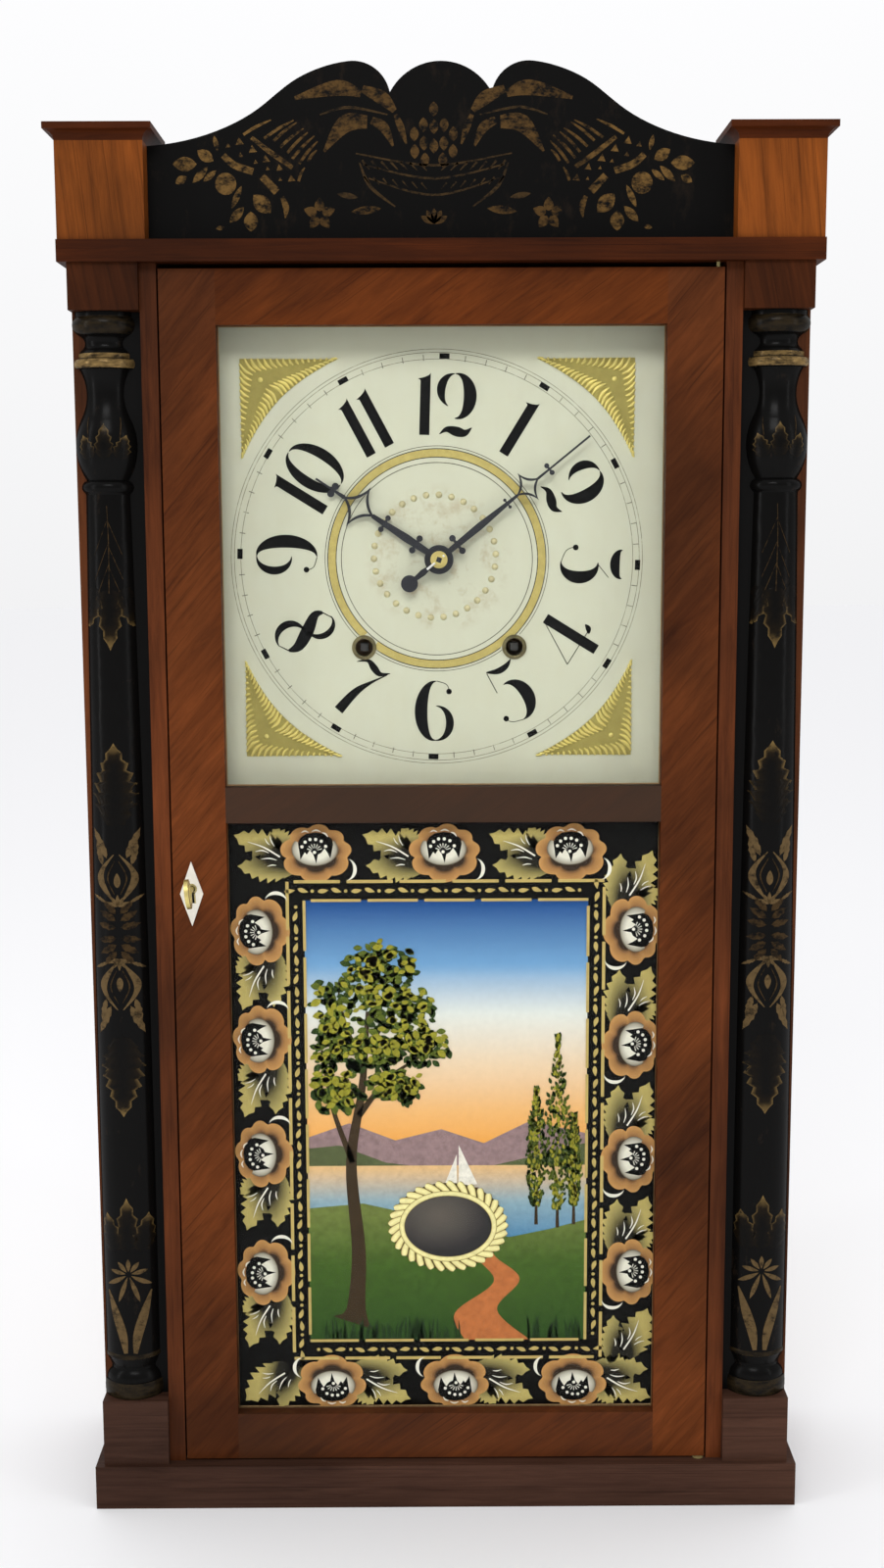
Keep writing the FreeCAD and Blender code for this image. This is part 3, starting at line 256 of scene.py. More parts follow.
def dial_finish():
    """Cream paint, blotched, and stained round the hands."""
    s = Shader("dial_cream_paint")
    here = s.coords()
    reach = 0.2
    middle = (DIAL_X * MM, dial_front * MM, DIAL_Z * MM)
    away = s.add("ShaderNodeVectorMath", [(0, here), (1, middle)], operation="DISTANCE")
    far = s.math("DIVIDE", away.outputs["Value"], reach)
    cloth = s.noise(s.coords((1, 1, 0.2)), 260, 4)
    blot = s.noise(here, 75, 6, 0.7)
    near = s.ramp(far, [(0.06, 1.0), (0.19, 0.75), (0.23, 0.0)])
    overlay = s.math("MULTIPLY", near, s.ramp(blot, [(0.5, 0.0), (0.7, 0.75)]))
    colour = s.mix(s.ramp(blot, [(0.3, 0.35), (0.7, 0.0)]), CREAM, (0.47, 0.455, 0.31))
    colour = s.mix(overlay, colour, (0.3, 0.2, 0.09))
    colour = s.mix(s.ramp(cloth, [(0.3, 0.12), (0.6, 0.0)]), colour, (0.42, 0.4, 0.28))
    s.set(Base_Color=colour, Roughness=0.55)
    return s.bump(cloth, 0.06, 0.0003).material


def pane():
    """Old clear glass that lets light through to what is behind it."""
    s = Shader("old_clear_glass")
    wave = s.noise(s.coords(), 14, 2)
    s.set(Base_Color=(0.97, 0.98, 0.97), Transmission_Weight=1.0, IOR=1.1)
    s.set(Roughness=s.ramp(wave, [(0.0, 0.0), (1.0, 0.02)]))
    s.bump(wave, 0.02, 0.0005)
    shadow = s.add("ShaderNodeLightPath").outputs["Is Shadow Ray"]
    clear = s.add("ShaderNodeBsdfTransparent").outputs[0]
    mixer = s.add("ShaderNodeMixShader", [(0, shadow), (1, s.bsdf.outputs[0]), (2, clear)])
    s.link(mixer.outputs[0], s.out.inputs[0])
    return s.material


def spline(knots, steps):
    """Smooth curve through (x, z, width) knots."""
    padded = [Vector(k) for k in (knots[0], *knots, knots[-1])]
    out = []
    for a, b, c, d in zip(padded, padded[1:], padded[2:], padded[3:]):
        for step in range(steps):
            t = step / steps
            out.append(0.5 * (2 * b + (c - a) * t + (2 * a - 5 * b + 4 * c - d) * t ** 2
                              + (3 * b - a - 3 * c + d) * t ** 3))
    return out + [padded[-2]]


class Place:
    """Puts a small drawing on the object: its middle, clockwise turn in degrees, size and mirroring."""

    def __init__(self, x=0.0, z=0.0, turn=0.0, size=1.0, flip=1):
        self.x, self.z, self.size, self.flip = x, z, size, flip
        self.cos, self.sin = math.cos(math.radians(turn)), math.sin(math.radians(turn))

    def __call__(self, u, v):
        u = u * self.size * self.flip
        v = v * self.size
        return self.x + u * self.cos + v * self.sin, self.z - u * self.sin + v * self.cos

    def back(self, x, z):
        """Drawing coordinates of a point on the object, for a place without size or mirroring."""
        x, z = x - self.x, z - self.z
        return x * self.cos - z * self.sin, x * self.sin + z * self.cos


HERE = Place()


def lobe(angle, dents):
    """Rise from 0 at a dent to 1 half way to the next one."""
    for low, high in zip(dents, dents[1:]):
        if low <= angle <= high:
            return math.sin(math.pi * (angle - low) / (high - low)) ** 0.6
    return 0.0


class Sheet:
    """Shapes of one paint, drawn on a face that looks to the front or laid on a turned piece."""

    def __init__(self, name, material, body, y=0.0, on=None, columns=1):
        self.name, self.material, self.body, self.y, self.columns = name, material, body, y, columns
        self.mesh = bmesh.new()
        self.uv = self.mesh.loops.layers.uv.new("UVMap")
        self.tree = BVHTree.FromObject(nodes[on], bpy.context.evaluated_depsgraph_get()) if on else None

    def point(self, x, z, lift=0.0):
        y = self.y
        if self.tree:
            hit = self.tree.ray_cast(Vector((x * MM, -0.3, z * MM)), Vector((0, 1, 0)))[0]
            y = (hit.y / MM if hit else self.y) - 3 * SKIN
        return self.mesh.verts.new((x * MM, (y - lift) * MM, z * MM))

    def face(self, corners):
        """corners are (vertex, u, v)."""
        try:
            made = self.mesh.faces.new([c[0] for c in corners])
        except ValueError:
            return
        for loop, (_, u, v) in zip(made.loops, corners):
            loop[self.uv].uv = (u, v)

    def patch(self, rows, columns, at):
        """Grid of faces. at(row, column) gives x, z, lift, u and v."""
        grid = []
        for i in range(rows + 1):
            row = []
            for k in range(columns + 1):
                x, z, lift, u, v = at(i, k)
                row.append((self.point(x, z, lift), u, v))
            grid.append(row)
        for low, high in zip(grid, grid[1:]):
            for k in range(columns):
                self.face([low[k], low[k + 1], high[k + 1], high[k]])

    def polygon(self, points, place=HERE):
        self.face([(self.point(*place(u, v)), 0.0, 0.5) for u, v in points])

    def stroke(self, knots, place=HERE, steps=6, lift=0.0):
        """Brush stroke through (u, v, width) knots, rounded up by lift."""
        samples = spline(knots, steps)
        last = len(samples) - 1
        columns = 4 if lift else self.columns

        def at(i, k):
            s = samples[i]
            ahead = samples[min(i + 1, last)] - samples[max(i - 1, 0)]
            side = Vector((ahead.y, -ahead.x))
            side = side.normalized() * max(s.z, 0.001) / 2 if side.length > 1e-9 else Vector((0, 0))
            c = 2 * k / columns - 1
            return (*place(s.x + side.x * c, s.y + side.y * c), lift * math.sqrt(1 - c * c), c, i / last)

        self.patch(last, columns, at)

    def leaf(self, length, width, place=HERE, teeth=0, bend=0.0, blunt=0.8, bite=0.28, tipped=0.0,
             shade=None):
        """Leaf from the place's middle along +v, with toothed edges and a bent midrib. Its u runs from the
        midrib to the edge. A tipped leaf fades towards its root and its heart, and its tip begins at that
        share of its length. shade gives u and v for a point on the object instead."""
        count = 2 * teeth if teeth else 10
        columns = max(2, self.columns)

        def at(i, k):
            t = i / count
            c = 2 * k / columns - 1
            half = width / 2 * math.sin(math.pi * min(1.0, t ** blunt)) ** 0.8
            if teeth and i % 2:
                half *= 1 - bite
            half = max(half, 0.002 * width)
            slant = 0.25 * bite * length * abs(c) if teeth and i % 2 == 0 else 0.0
            x, z = place(half * c + bend * t * t, t * length + slant * (1 - t))
            u, v = shade(x, z) if shade else (abs(c), t)
            if tipped:
                u = t ** 0.6 * max(c * c, (t - tipped) / (1 - tipped))
            return x, z, 0.0, u, v

        self.patch(count, columns, at)

    def disc(self, rx, rz, place=HERE, dents=(), depth=0.0, sides=24, rings=1, arc=(0, 360),
             sheen=(0.0, 0.0)):
        """Round patch or sector whose u and v run from its middle, or from its sheen, to its edge.
        dents are angles where its rim is notched."""
        def at(ring, k):
            share = max(ring / rings, 0.002)
            a = math.radians(arc[0] + (arc[1] - arc[0]) * k / sides)
            out = 1 - depth * (1 - lobe(math.degrees(a), dents)) if dents else 1.0
            x, z = place(rx * share * out * math.sin(a), rz * share * out * math.cos(a))
            return x, z, 0.0, share * math.sin(a) - sheen[0], share * math.cos(a) - sheen[1]

        self.patch(rings, sides, at)

    def ring(self, radius, width, place, sides=180, holes=()):
        """Line round a circle, left out where it would cross a hole (x, z, radius)."""
        run = []
        for k in range(sides + 1):
            a = 2 * math.pi * k / sides
            u, v = radius * math.sin(a), radius * math.cos(a)
            if any(math.dist(place(u, v), hole[:2]) < hole[2] for hole in holes):
                if len(run) > 1:
                    self.stroke(run, place, steps=1)
                run = []
            else:
                run.append((u, v, width))
        if len(run) > 1:
            self.stroke(run, place, steps=1)

    def dome(self, radius, height, place, sides=10, rings=4):
        """Small raised bead."""
        def at(ring, k):
            up = math.pi / 2 * ring / rings
            out = radius * math.cos(up)
            a = 2 * math.pi * k / sides
            x, z = place(out * math.sin(a), out * math.cos(a))
            return x, z, height * math.sin(up), 0.0, ring / rings

        self.patch(rings, sides, at)

    def make(self, slot, smooth=False):
        bmesh.ops.remove_doubles(self.mesh, verts=self.mesh.verts, dist=1e-7)
        for f in self.mesh.faces:
            f.smooth = smooth
            if f.normal.y > 0:
                f.normal_flip()
        made = put_mesh(self.name, self.mesh, self.material)
        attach(made, self.body)


def make_all(slot, *sheets):
    for sheet in sheets:
        sheet.make(slot)


def finish(material, *names):
    """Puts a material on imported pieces."""
    for name in names:
        nodes[name].data.materials.clear()
        nodes[name].data.materials.append(material)
    return material


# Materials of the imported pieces, and of the gilding on the dial
rail_tones = (2, [(0.0, 0.3), (0.1, 0.0), (0.42, 0.85), (0.45, 0.0)], (0.038, 0.025, 0.017))
# Painted shade: the face boards turn black from the middle out to the columns, standing for the shade behind
# the columns
painted_shade_behind_columns = (0, [(0.0, 1.0), (0.19, 0.0)], BLACK_PAINT)
finish(wood("mahogany_upright", (0.056, 0.013, 0.003), (0.184, 0.048, 0.011), (1, 1, 0.12), figure=-0.7),
       "door_stiles")
finish(wood("mahogany_rails", (0.06, 0.012, 0.002), (0.19, 0.045, 0.007), (0.12, 1, 1), figure=0.62,
            overlay=rail_tones), "door_rails")
finish(wood("mahogany_jamb", (0.04, 0.01, 0.003), (0.19, 0.05, 0.014)), "door_jambs", "case_sides")
finish(wood("mahogany_cornice", (0.018, 0.004, 0.001), (0.085, 0.018, 0.003), (0.06, 1, 1), coat=0.0),
       "cornice", "chimney_caps")
finish(wood("mahogany_block", (0.02, 0.005, 0.001), (0.09, 0.022, 0.005), figure=0.2, coat=0.0),
       "capital_blocks")
finish(wood("mahogany_base", (0.028, 0.012, 0.007), (0.09, 0.041, 0.026), (0.07, 1, 1), patches=0.3),
       "plinth", "base_blocks")
finish(wood("mahogany_face_painted_shade", (0.035, 0.01, 0.003), (0.15, 0.044, 0.014), overlay=painted_shade_behind_columns), "face_boards")
finish(wood("orange_mahogany", (0.088, 0.023, 0.004), (0.31, 0.08, 0.011), figure=0.1, coat=0.0), "chimneys")
finish(wood("aged_pine", (0.27, 0.15, 0.065), (0.47, 0.31, 0.155), gloss=0.6, coat=0.0, patches=0.3),
       "bottom_board", "back_board", "splat_glue_blocks", "glass_strips", "dial_rails", "movement_rails",
       "pulley_ears")
finish(wood("movement_oak", (0.26, 0.14, 0.06), (0.44, 0.27, 0.12), gloss=0.55, coat=0.05),
       "center_wheel", "hour_wheel", "motion_wheel", "time_great_wheel", "third_wheel", "strike_great_wheel",
       "pin_wheel", "fly", "front_plate", "back_plate", "plate_pillars", "time_pulley", "strike_pulley",
       "time_drum", "strike_drum")
finish(column_finish(), "columns")
finish(ebonised(), "splat")
finish(pane(), "dial_glass", "tablet_glass")
finish(dial_finish(), "dial_board")
brass = finish(metal("aged_brass", (0.5, 0.42, 0.18), 0.32, 0.6),
               "escape_wheel", "pendulum_bob", "bell", "hinge_pins")
bright_brass = finish(metal("bright_brass", (0.68, 0.56, 0.2), 0.28, 0.8, 0.15, 0.05), "hand_collet", "key")
finish(metal("grommet_brass", (0.15, 0.125, 0.055), 0.35, 0.5, 0.5), "winding_grommets")
finish(metal("dull_steel", (0.4, 0.39, 0.37), 0.38), "suspension_stud", "pendulum_rod", "verge", "hammer")
finish(metal("cast_iron", (0.05, 0.045, 0.04), 0.6, 0.6, 0.5, 0.5),
       "lock_case", "lock_bolt", "time_weight", "strike_weight")
japanned = finish(metal("japanned_iron", (0.012, 0.013, 0.018), 0.3, 0.2, 0.2, 0.05),
                  "hour_hand", "minute_hand")
finish(metal("polished_bone", (0.78, 0.74, 0.64), 0.35, 0.0, 0.12, 0.03), "escutcheon")
linen = finish(metal("linen_cord", (0.42, 0.34, 0.22), 0.8, 0.0, 0.4, 0.8),
               "cord_runs", "time_cord_drop", "strike_cord_drop")
gilt = metal("gilt_relief", (0.74, 0.63, 0.2), 0.36, 0.5, 0.3)
dull_gilt = metal("dull_gilt", (0.5, 0.45, 0.25), 0.4, 0.2, 0.3)

# Planes in front of which lie the drums' squares, the taper pin and the arbor's nose
SQUARES_PLANE, PIN_PLANE, NOSE_PLANE = -16.6, -37.65, -37.6


def refinish(name, material, plane):
    """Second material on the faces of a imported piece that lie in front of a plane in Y."""
    data = nodes[name].data
    data.materials.append(material)
    for face in data.polygons:
        if face.center.y < plane * MM:
            face.material_index = 1


# Winding squares: dull steel made near black, which also paints in the shade deep in the winding holes
steel_with_painted_shade = metal("steel_with_painted_shade", (0.025, 0.023, 0.021), 0.5, 0.2)
for drum in ("time_drum", "strike_drum"):
    refinish(drum, steel_with_painted_shade, SQUARES_PLANE)
refinish("hand_collet", metal("bright_steel", (0.75, 0.74, 0.72), 0.3, 0.6, 0.1), PIN_PLANE)
refinish("center_wheel", bright_brass, NOSE_PLANE)

# Paints of the drawn work
numeral_black = flat_paint("numeral_black", (0.006, 0.006, 0.006), mottle=0.1, worn=0.24,
                           under=(0.2, 0.19, 0.15))
pencil = flat_paint("faint_line", (0.16, 0.15, 0.12), worn=0.4, under=CREAM)
fine_black = flat_paint("fine_black_line", (0.05, 0.048, 0.04), worn=0.36, under=(0.4, 0.39, 0.3))
dull_gold = flat_paint("dull_gold_band", (0.47, 0.385, 0.13), roughness=0.4, metallic=0.2)
stencil_gold = paint("stencil_gold", [(0.0, (0.078, 0.042, 0.013)), (0.075, (0.088, 0.047, 0.014)),
                                      (0.1, OLD_GOLD)], "x", worn=0.5)
stencil_faint = flat_paint("stencil_faint", (0.05, 0.029, 0.011), worn=0.49)
column_gold = paint("column_gold", [(0.0, (0.004, 0.0035, 0.003)), (0.4, (0.012, 0.008, 0.004)),
                                    (0.85, (0.15, 0.096, 0.034)), (1.0, (0.2, 0.128, 0.045))],
                    "u", worn=0.43, roughness=0.24, gloss=0.06)
foot_gold = flat_paint("foot_gold", (0.125, 0.08, 0.034), mottle=0.4, worn=0.42)


# Dial: numerals as brush strokes in a box one unit tall, centred on its foot
def swell(x, z, rx, rz, start, end, width):
    """Crescent along an ellipse from one angle to another, thin at its ends."""
    knots = []
    for k in range(13):
        share = k / 12
        a = math.radians(start + (end - start) * share)
        thick = 0.012 + width * math.sin(math.pi * share) ** 1.3
        knots.append((x + rx * math.cos(a), z + rz * math.sin(a), thick))
    return knots


BAR = [(-0.08, 0.0), (0.085, 0.0), (0.085, 1.0), (0.055, 0.965), (-0.02, 0.93), (-0.125, 0.905),
       (-0.08, 0.88)]
BOWL = swell(-0.02, 0.31, 0.25, 0.31, 90, -90, 0.19)
NINE = [swell(-0.02, 0.5, 0.25, 0.5, -88, 92, 0.2), swell(-0.02, 0.71, 0.24, 0.29, 90, 270, 0.12),
        [(-0.02, 0.0, 0.014), (-0.18, 0.05, 0.012), (-0.24, 0.16, 0.012)]]
DIGITS = {
    "1": [],
    "2": [swell(0.0, 0.72, 0.24, 0.28, 95, 240, 0.13), swell(0.0, 0.64, 0.24, 0.36, 92, -92, 0.2),
          [(-0.25, 0.02, 0.01), (-0.13, 0.1, 0.09), (0.03, 0.07, 0.16), (0.17, 0.05, 0.11),
           (0.28, 0.14, 0.01)]],
    "3": [BOWL, [(0.0, 0.0, 0.012), (-0.2, 0.08, 0.012), (-0.27, 0.22, 0.012)],
          [(0.0, 0.61, 0.012), (0.22, 0.8, 0.012)], swell(0.0, 1.02, 0.235, 0.12, 180, 360, 0.15)],
    "4": [[(0.1, 0.0, 0.17), (0.1, 1.0, 0.17)], [(0.04, 0.98, 0.012), (-0.36, 0.28, 0.014)],
          [(-0.36, 0.28, 0.014), (0.34, 0.28, 0.014)],
          [(0.26, 0.25, 0.03), (0.33, 0.3, 0.09), (0.36, 0.38, 0.02)]],
    "5": [swell(-0.02, 0.34, 0.26, 0.34, 95, -90, 0.2),
          [(-0.2, 0.99, 0.02), (-0.02, 0.92, 0.1), (0.14, 0.93, 0.09), (0.27, 1.0, 0.01)],
          [(-0.2, 0.97, 0.014), (-0.2, 0.6, 0.014)],
          [(-0.02, 0.0, 0.012), (-0.2, 0.05, 0.012), (-0.28, 0.14, 0.012)]],
    "6": [[(-u, 1.0 - v, w) for u, v, w in part] for part in NINE],
    "7": [[(-0.28, 0.86, 0.01), (-0.13, 0.97, 0.06), (0.02, 0.92, 0.12), (0.16, 0.88, 0.08),
           (0.3, 0.98, 0.01)],
          [(0.27, 0.93, 0.01), (0.1, 0.68, 0.05), (-0.04, 0.4, 0.13), (-0.12, 0.0, 0.17)]],
    "8": [[(-0.15, 0.9, 0.05), (-0.17, 0.76, 0.14), (0.0, 0.53, 0.21), (0.15, 0.28, 0.17), (0.14, 0.1, 0.05)],
          swell(0.0, 0.77, 0.2, 0.23, 100, -95, 0.09), swell(-0.02, 0.24, 0.24, 0.25, 85, 275, 0.11),
          [(-0.15, 0.9, 0.02), (0.0, 1.0, 0.014)], [(0.14, 0.1, 0.02), (0.0, 0.0, 0.014)]],
    "9": NINE,
    "0": [swell(-0.01, 0.5, 0.25, 0.5, 90, 270, 0.16), swell(0.01, 0.5, 0.25, 0.5, 90, -90, 0.16)],
}
BALLS = {"3": (-0.26, 0.24), "5": (-0.27, 0.15), "6": (0.23, 0.83), "9": (-0.23, 0.17)}
BALL_RADIUS = 1.7
NUMERAL_HEIGHT = 35.6
NUMERAL_RADIUS = 89.8
DIAL_TURN = 1.8
# Hour blocks: radius and half sizes. Minute track: radii, width of the rings, ends and width of the ticks
BLOCK_RADIUS, BLOCK_U, BLOCK_V = 117.4, 2.95, 1.55
TRACK_RADII, TRACK_WIDTH = (115.7, 119.5, 121.4), 0.32
TICK_FOOT, TICK_TOP, TICK_WIDTH = 115.0, 118.4, 0.5
# Gold band and the lines beside it: radius and width. All rings sit a little left of the hands
BAND = (61.9, 4.4)
BAND_LINES = [(64.4, 0.5), (66.0, 0.35), (59.5, 0.5), (56.4, 0.4)]
RINGS_SHIFT = -1.2
# Beads: count, radius of their circle, its shift, radius and height of one
BEADS, BEAD_CIRCLE, BEAD_SHIFT = 30, 36.0, (-2.4, 1.8)
BEAD_RADIUS, BEAD_HEIGHT = 2.0, 1.1
# Corner pieces: the corners of their square
FANS_LEFT, FANS_RIGHT, FANS_LOW, FANS_HIGH = -117.5, 112.6, 463.6, 696.4
ARBOR_HALF = 1.5


def dial_place(hour, radius, turn=0.0, size=1.0):
    degrees = 30.0 * hour + DIAL_TURN
    angle = math.radians(degrees)
    return Place(DIAL_X + radius * math.sin(angle), DIAL_Z + radius * math.cos(angle), degrees + turn, size)


def rectangle(x0, x1, z0, z1):
    return [(x0, z0), (x1, z0), (x1, z1), (x0, z1)]


def draw_numerals():
    sheet = Sheet("dial_numerals", numeral_black, "case", dial_front - 2 * SKIN)
    for hour in range(1, 13):
        inward = 4 <= hour <= 8
        place = dial_place(hour, NUMERAL_RADIUS, 180.0 if inward else 0.0, NUMERAL_HEIGHT)
        text = str(hour)
        offsets = {1: [0.0], 2: [-0.3, 0.2] if hour != 11 else [-0.17, 0.17]}[len(text)]
        for digit, offset in zip(text, offsets):
            for part in DIGITS[digit]:
                sheet.stroke([(u + offset, v - 0.5, w) for u, v, w in part], place, steps=4)
            if digit == "1":
                sheet.polygon([(u + offset, v - 0.5) for u, v in BAR], place)
            if digit in BALLS and len(text) == 1:
                u, v = BALLS[digit]
                sheet.disc(BALL_RADIUS, BALL_RADIUS, Place(*place(u, v - 0.5)), sides=14)
        sheet.polygon(rectangle(-BLOCK_U, BLOCK_U, -BLOCK_V, BLOCK_V), dial_place(hour, BLOCK_RADIUS))
    sheet.make("dial_paint")


def draw_dial_lines():
    middle = Place(DIAL_X + RINGS_SHIFT, DIAL_Z)
    faint = Sheet("dial_minute_track", pencil, "case", dial_front - SKIN)
    for radius in TRACK_RADII:
        faint.ring(radius, TRACK_WIDTH, middle)
    tick = [(0, TICK_FOOT, TICK_WIDTH), (0, TICK_TOP, TICK_WIDTH)]
    for minute in range(60):
        if minute % 5:
            faint.stroke(tick, dial_place(minute / 5.0, 0.0), steps=1)
    faint.make("dial_paint")
    band = Sheet("dial_gold_band", dull_gold, "case", dial_front - SKIN)
    low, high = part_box("winding_grommets")
    height = (low.z + high.z) / 2 / MM
    half = (high.z - low.z) / 2 / MM
    holes = [(x, height, half - 0.5) for x in (low.x / MM + half, high.x / MM - half)]
    band.ring(*BAND, middle, holes=holes)
    band.make("dial_paint")
    fine = Sheet("dial_band_lines", fine_black, "case", dial_front - 1.5 * SKIN)
    for radius, width in BAND_LINES:
        fine.ring(radius, width, middle, holes=holes)
    fine.make("dial_paint")


def raise_dial_gilding():
    """Ring of gesso beads and four fan-shaped corner pieces."""
    beads = Sheet("dial_gilt_beads", dull_gilt, "case", dial_front)
    for k in range(BEADS):
        a = math.radians(360.0 / BEADS * k + 4.0)
        here = Place(DIAL_X + BEAD_SHIFT[0], DIAL_Z + BEAD_SHIFT[1])
        beads.dome(BEAD_RADIUS, BEAD_HEIGHT, Place(*here(BEAD_CIRCLE * math.sin(a),
                                                         BEAD_CIRCLE * math.cos(a))))
    beads.make("brass", smooth=True)
    fans = Sheet("dial_gilt_corners", gilt, "case", dial_front)
    ground = Sheet("dial_gilt_ground", flat_paint("gilt_shadow", (0.32, 0.27, 0.08)), "case", dial_front)
    for z, sz in ((FANS_HIGH, -1), (FANS_LOW, 1)):
        for x, sx in ((FANS_LEFT, 1), (FANS_RIGHT, -1)):
            corner_fan(fans, ground, x, z, sx, sz)
    ground.make("brass")
    fans.make("brass", smooth=True)


def corner_fan(sheet, ground, x, z, sx, sz, leg=57.0, ribs=15, hollow=5.5, relief=1.3):
    """Triangular piece with a hollow long side: a spine to each tip with feathered ribs on both sides."""
    def at(u, v):
        return x + sx * u, z + sz * v

    def slope(t):
        dip = hollow * math.sin(math.pi * t)
        return leg * t - dip, leg * (1 - t) - dip

    def rib(start, end, width):
        bow = (0.12 * (end[1] - start[1]), -0.12 * (end[0] - start[0]))
        middle = ((start[0] + end[0]) / 2 + bow[0], (start[1] + end[1]) / 2 + bow[1])
        knots = [(*at(*start), width * 0.4), (*at(*middle), width), (*at(*end), width * 0.5)]
        sheet.stroke(knots, lift=relief, steps=4)

    outline = [(0, 0), (leg, 0.4)] + [slope(1 - k / 12) for k in range(1, 12)] + [(0.4, leg)]
    ground.face([(ground.point(*at(u, v), 0.35), 0.0, 0.5) for u, v in outline])
    heart = 0.21 * leg
    for swap in (False, True):
        for k in range(ribs):
            s = (k + 0.3) / ribs
            spine = (heart + (leg - heart) * s * 0.94, heart * (1 - s) ** 1.2 + 0.8 * s)
            edge = (heart * 0.15 + (leg - heart * 0.1) * s, 0.0)
            hill = slope(0.5 + 0.5 * min(1.0, s + 0.05))
            for end in (edge, hill):
                near = (spine[0] + 0.35 * (end[0] - spine[0]), spine[1] + 0.35 * (end[1] - spine[1]))
                pair = (near, end)
                if swap:
                    pair = (near[::-1], end[::-1])
                rib(*pair, 2.6 - 1.1 * s)
    sheet.dome(1.6, 1.0, Place(*at(heart, heart)))


def dress_arbor():
    """Dark square in the end of the hands' arbor."""
    square = Sheet("arbor_square", japanned, "minute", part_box("center_wheel")[0].y / MM - SKIN)
    square.polygon(rectangle(-ARBOR_HALF, ARBOR_HALF, -ARBOR_HALF, ARBOR_HALF), Place(DIAL_X, DIAL_Z, 20))
    square.make("hand_iron")


# Tablet: paint on the back of the lower glass, nearest layer first
def glass_sheet(name, material, number, columns=1):
    return Sheet(name, material, "door", glass_back + SKIN * (number + 1), columns=columns)


# Flowers and corner leaves: x, z and turn. Lobes of a leaf: u, v, lean, length and width
FLOWERS = [(-76.0, 407.0, 0), (0.5, 407.0, 0), (76.0, 407.0, 0), (113.0, 359.4, 90), (113.0, 288.5, 90),
           (113.0, 216.5, 90), (113.0, 144.2, 90), (79.0, 73.3, 180), (5.8, 73.3, 180), (-70.4, 73.3, 180),
           (-110.0, 360.0, 270), (-110.0, 293.0, 270), (-110.0, 221.0, 270), (-110.0, 145.0, 270)]
LEAF_LOBES = [(-13.0, -1.5, -70, 38.0, 19.0), (-15.0, 1.0, -37, 17.5, 15.0), (-11.0, -10.5, -85, 36.0, 18.0)]
CORNER_LOBES = [(-13.0, -1.5, -68, 38.0, 24.0), (-11.0, -9.5, -88, 33.0, 17.0)]
CORNER_LEAVES = [(-92.3, 99.6, 295), (112.4, 72.2, 90)]
# One flower: half sizes of its petals and its cup, angles of the petals' dents, outline of its dark heart
PETAL_SIZE, CUP_SIZE, CUP_ARC = (21.4, 17.8), (13.9, 10.0), (58, 302)
PETAL_DENTS = (-13, 27, 62, 98, 151, 211, 260, 304, 347, 387)
HEART = [(-10.6, 6.5), (-9.0, 9.6), (-5.6, 12.0), (0.0, 12.8), (5.6, 11.8), (9.4, 9.0), (10.4, 5.6),
         (9.4, 0.6), (8.6, -3.0), (7.0, 0.4), (5.2, 3.2), (3.2, 0.4), (1.2, -0.6), (0.2, -6.0),
         (-1.6, -0.4), (-3.6, 2.2), (-5.4, -0.6), (-6.6, 0.8), (-9.2, -3.6), (-9.8, 1.0)]
FLOWER_DOTS = [(-8.2, 4.2), (-6.3, 7.0), (-3.4, 8.6), (0.0, 8.6), (3.3, 7.5), (5.9, 4.4), (-0.8, 0.8)]
FLOWER_ARCS = [[(-8.4, 12.8, 0.3), (-6.3, 13.7, 1.0), (-4.2, 12.8, 0.3)],
               [(-2.3, 13.4, 0.3), (0.3, 14.2, 1.0), (3.0, 13.2, 0.3)],
               [(3.8, 12.6, 0.3), (5.8, 12.0, 1.0), (7.3, 10.0, 0.3)],
               swell(17.2, -9.6, 6.0, 6.8, 70, -80, 2.1)]
LEAF_VEINS = [[(-21.4, -1.9, 1.0), (-31.0, 4.0, 0.9), (-40.5, 7.3, 0.2)],
              [(-36.0, 1.4, 0.2), (-32.0, 2.1, 0.8), (-28.0, 0.6, 0.3)],
              [(-32.5, -3.1, 0.2), (-27.5, -2.7, 0.8), (-23.3, -3.9, 0.3)],
              [(-29.0, -7.6, 0.2), (-26.2, -6.8, 0.7), (-23.7, -7.0, 0.3)],
              [(-27.2, 11.0, 0.2), (-26.4, 7.6, 0.7), (-24.6, 4.6, 0.3)],
              [(-30.2, 9.4, 0.2), (-29.0, 7.0, 0.6), (-27.4, 5.4, 0.3)]]
# Gold rectangles round the view and round the chain of leaves: x and z limits
VIEW = (-83.5, 86.5, 100.5, 378.5)
RIM = (-93.5, 96.0, 89.0, 390.0)


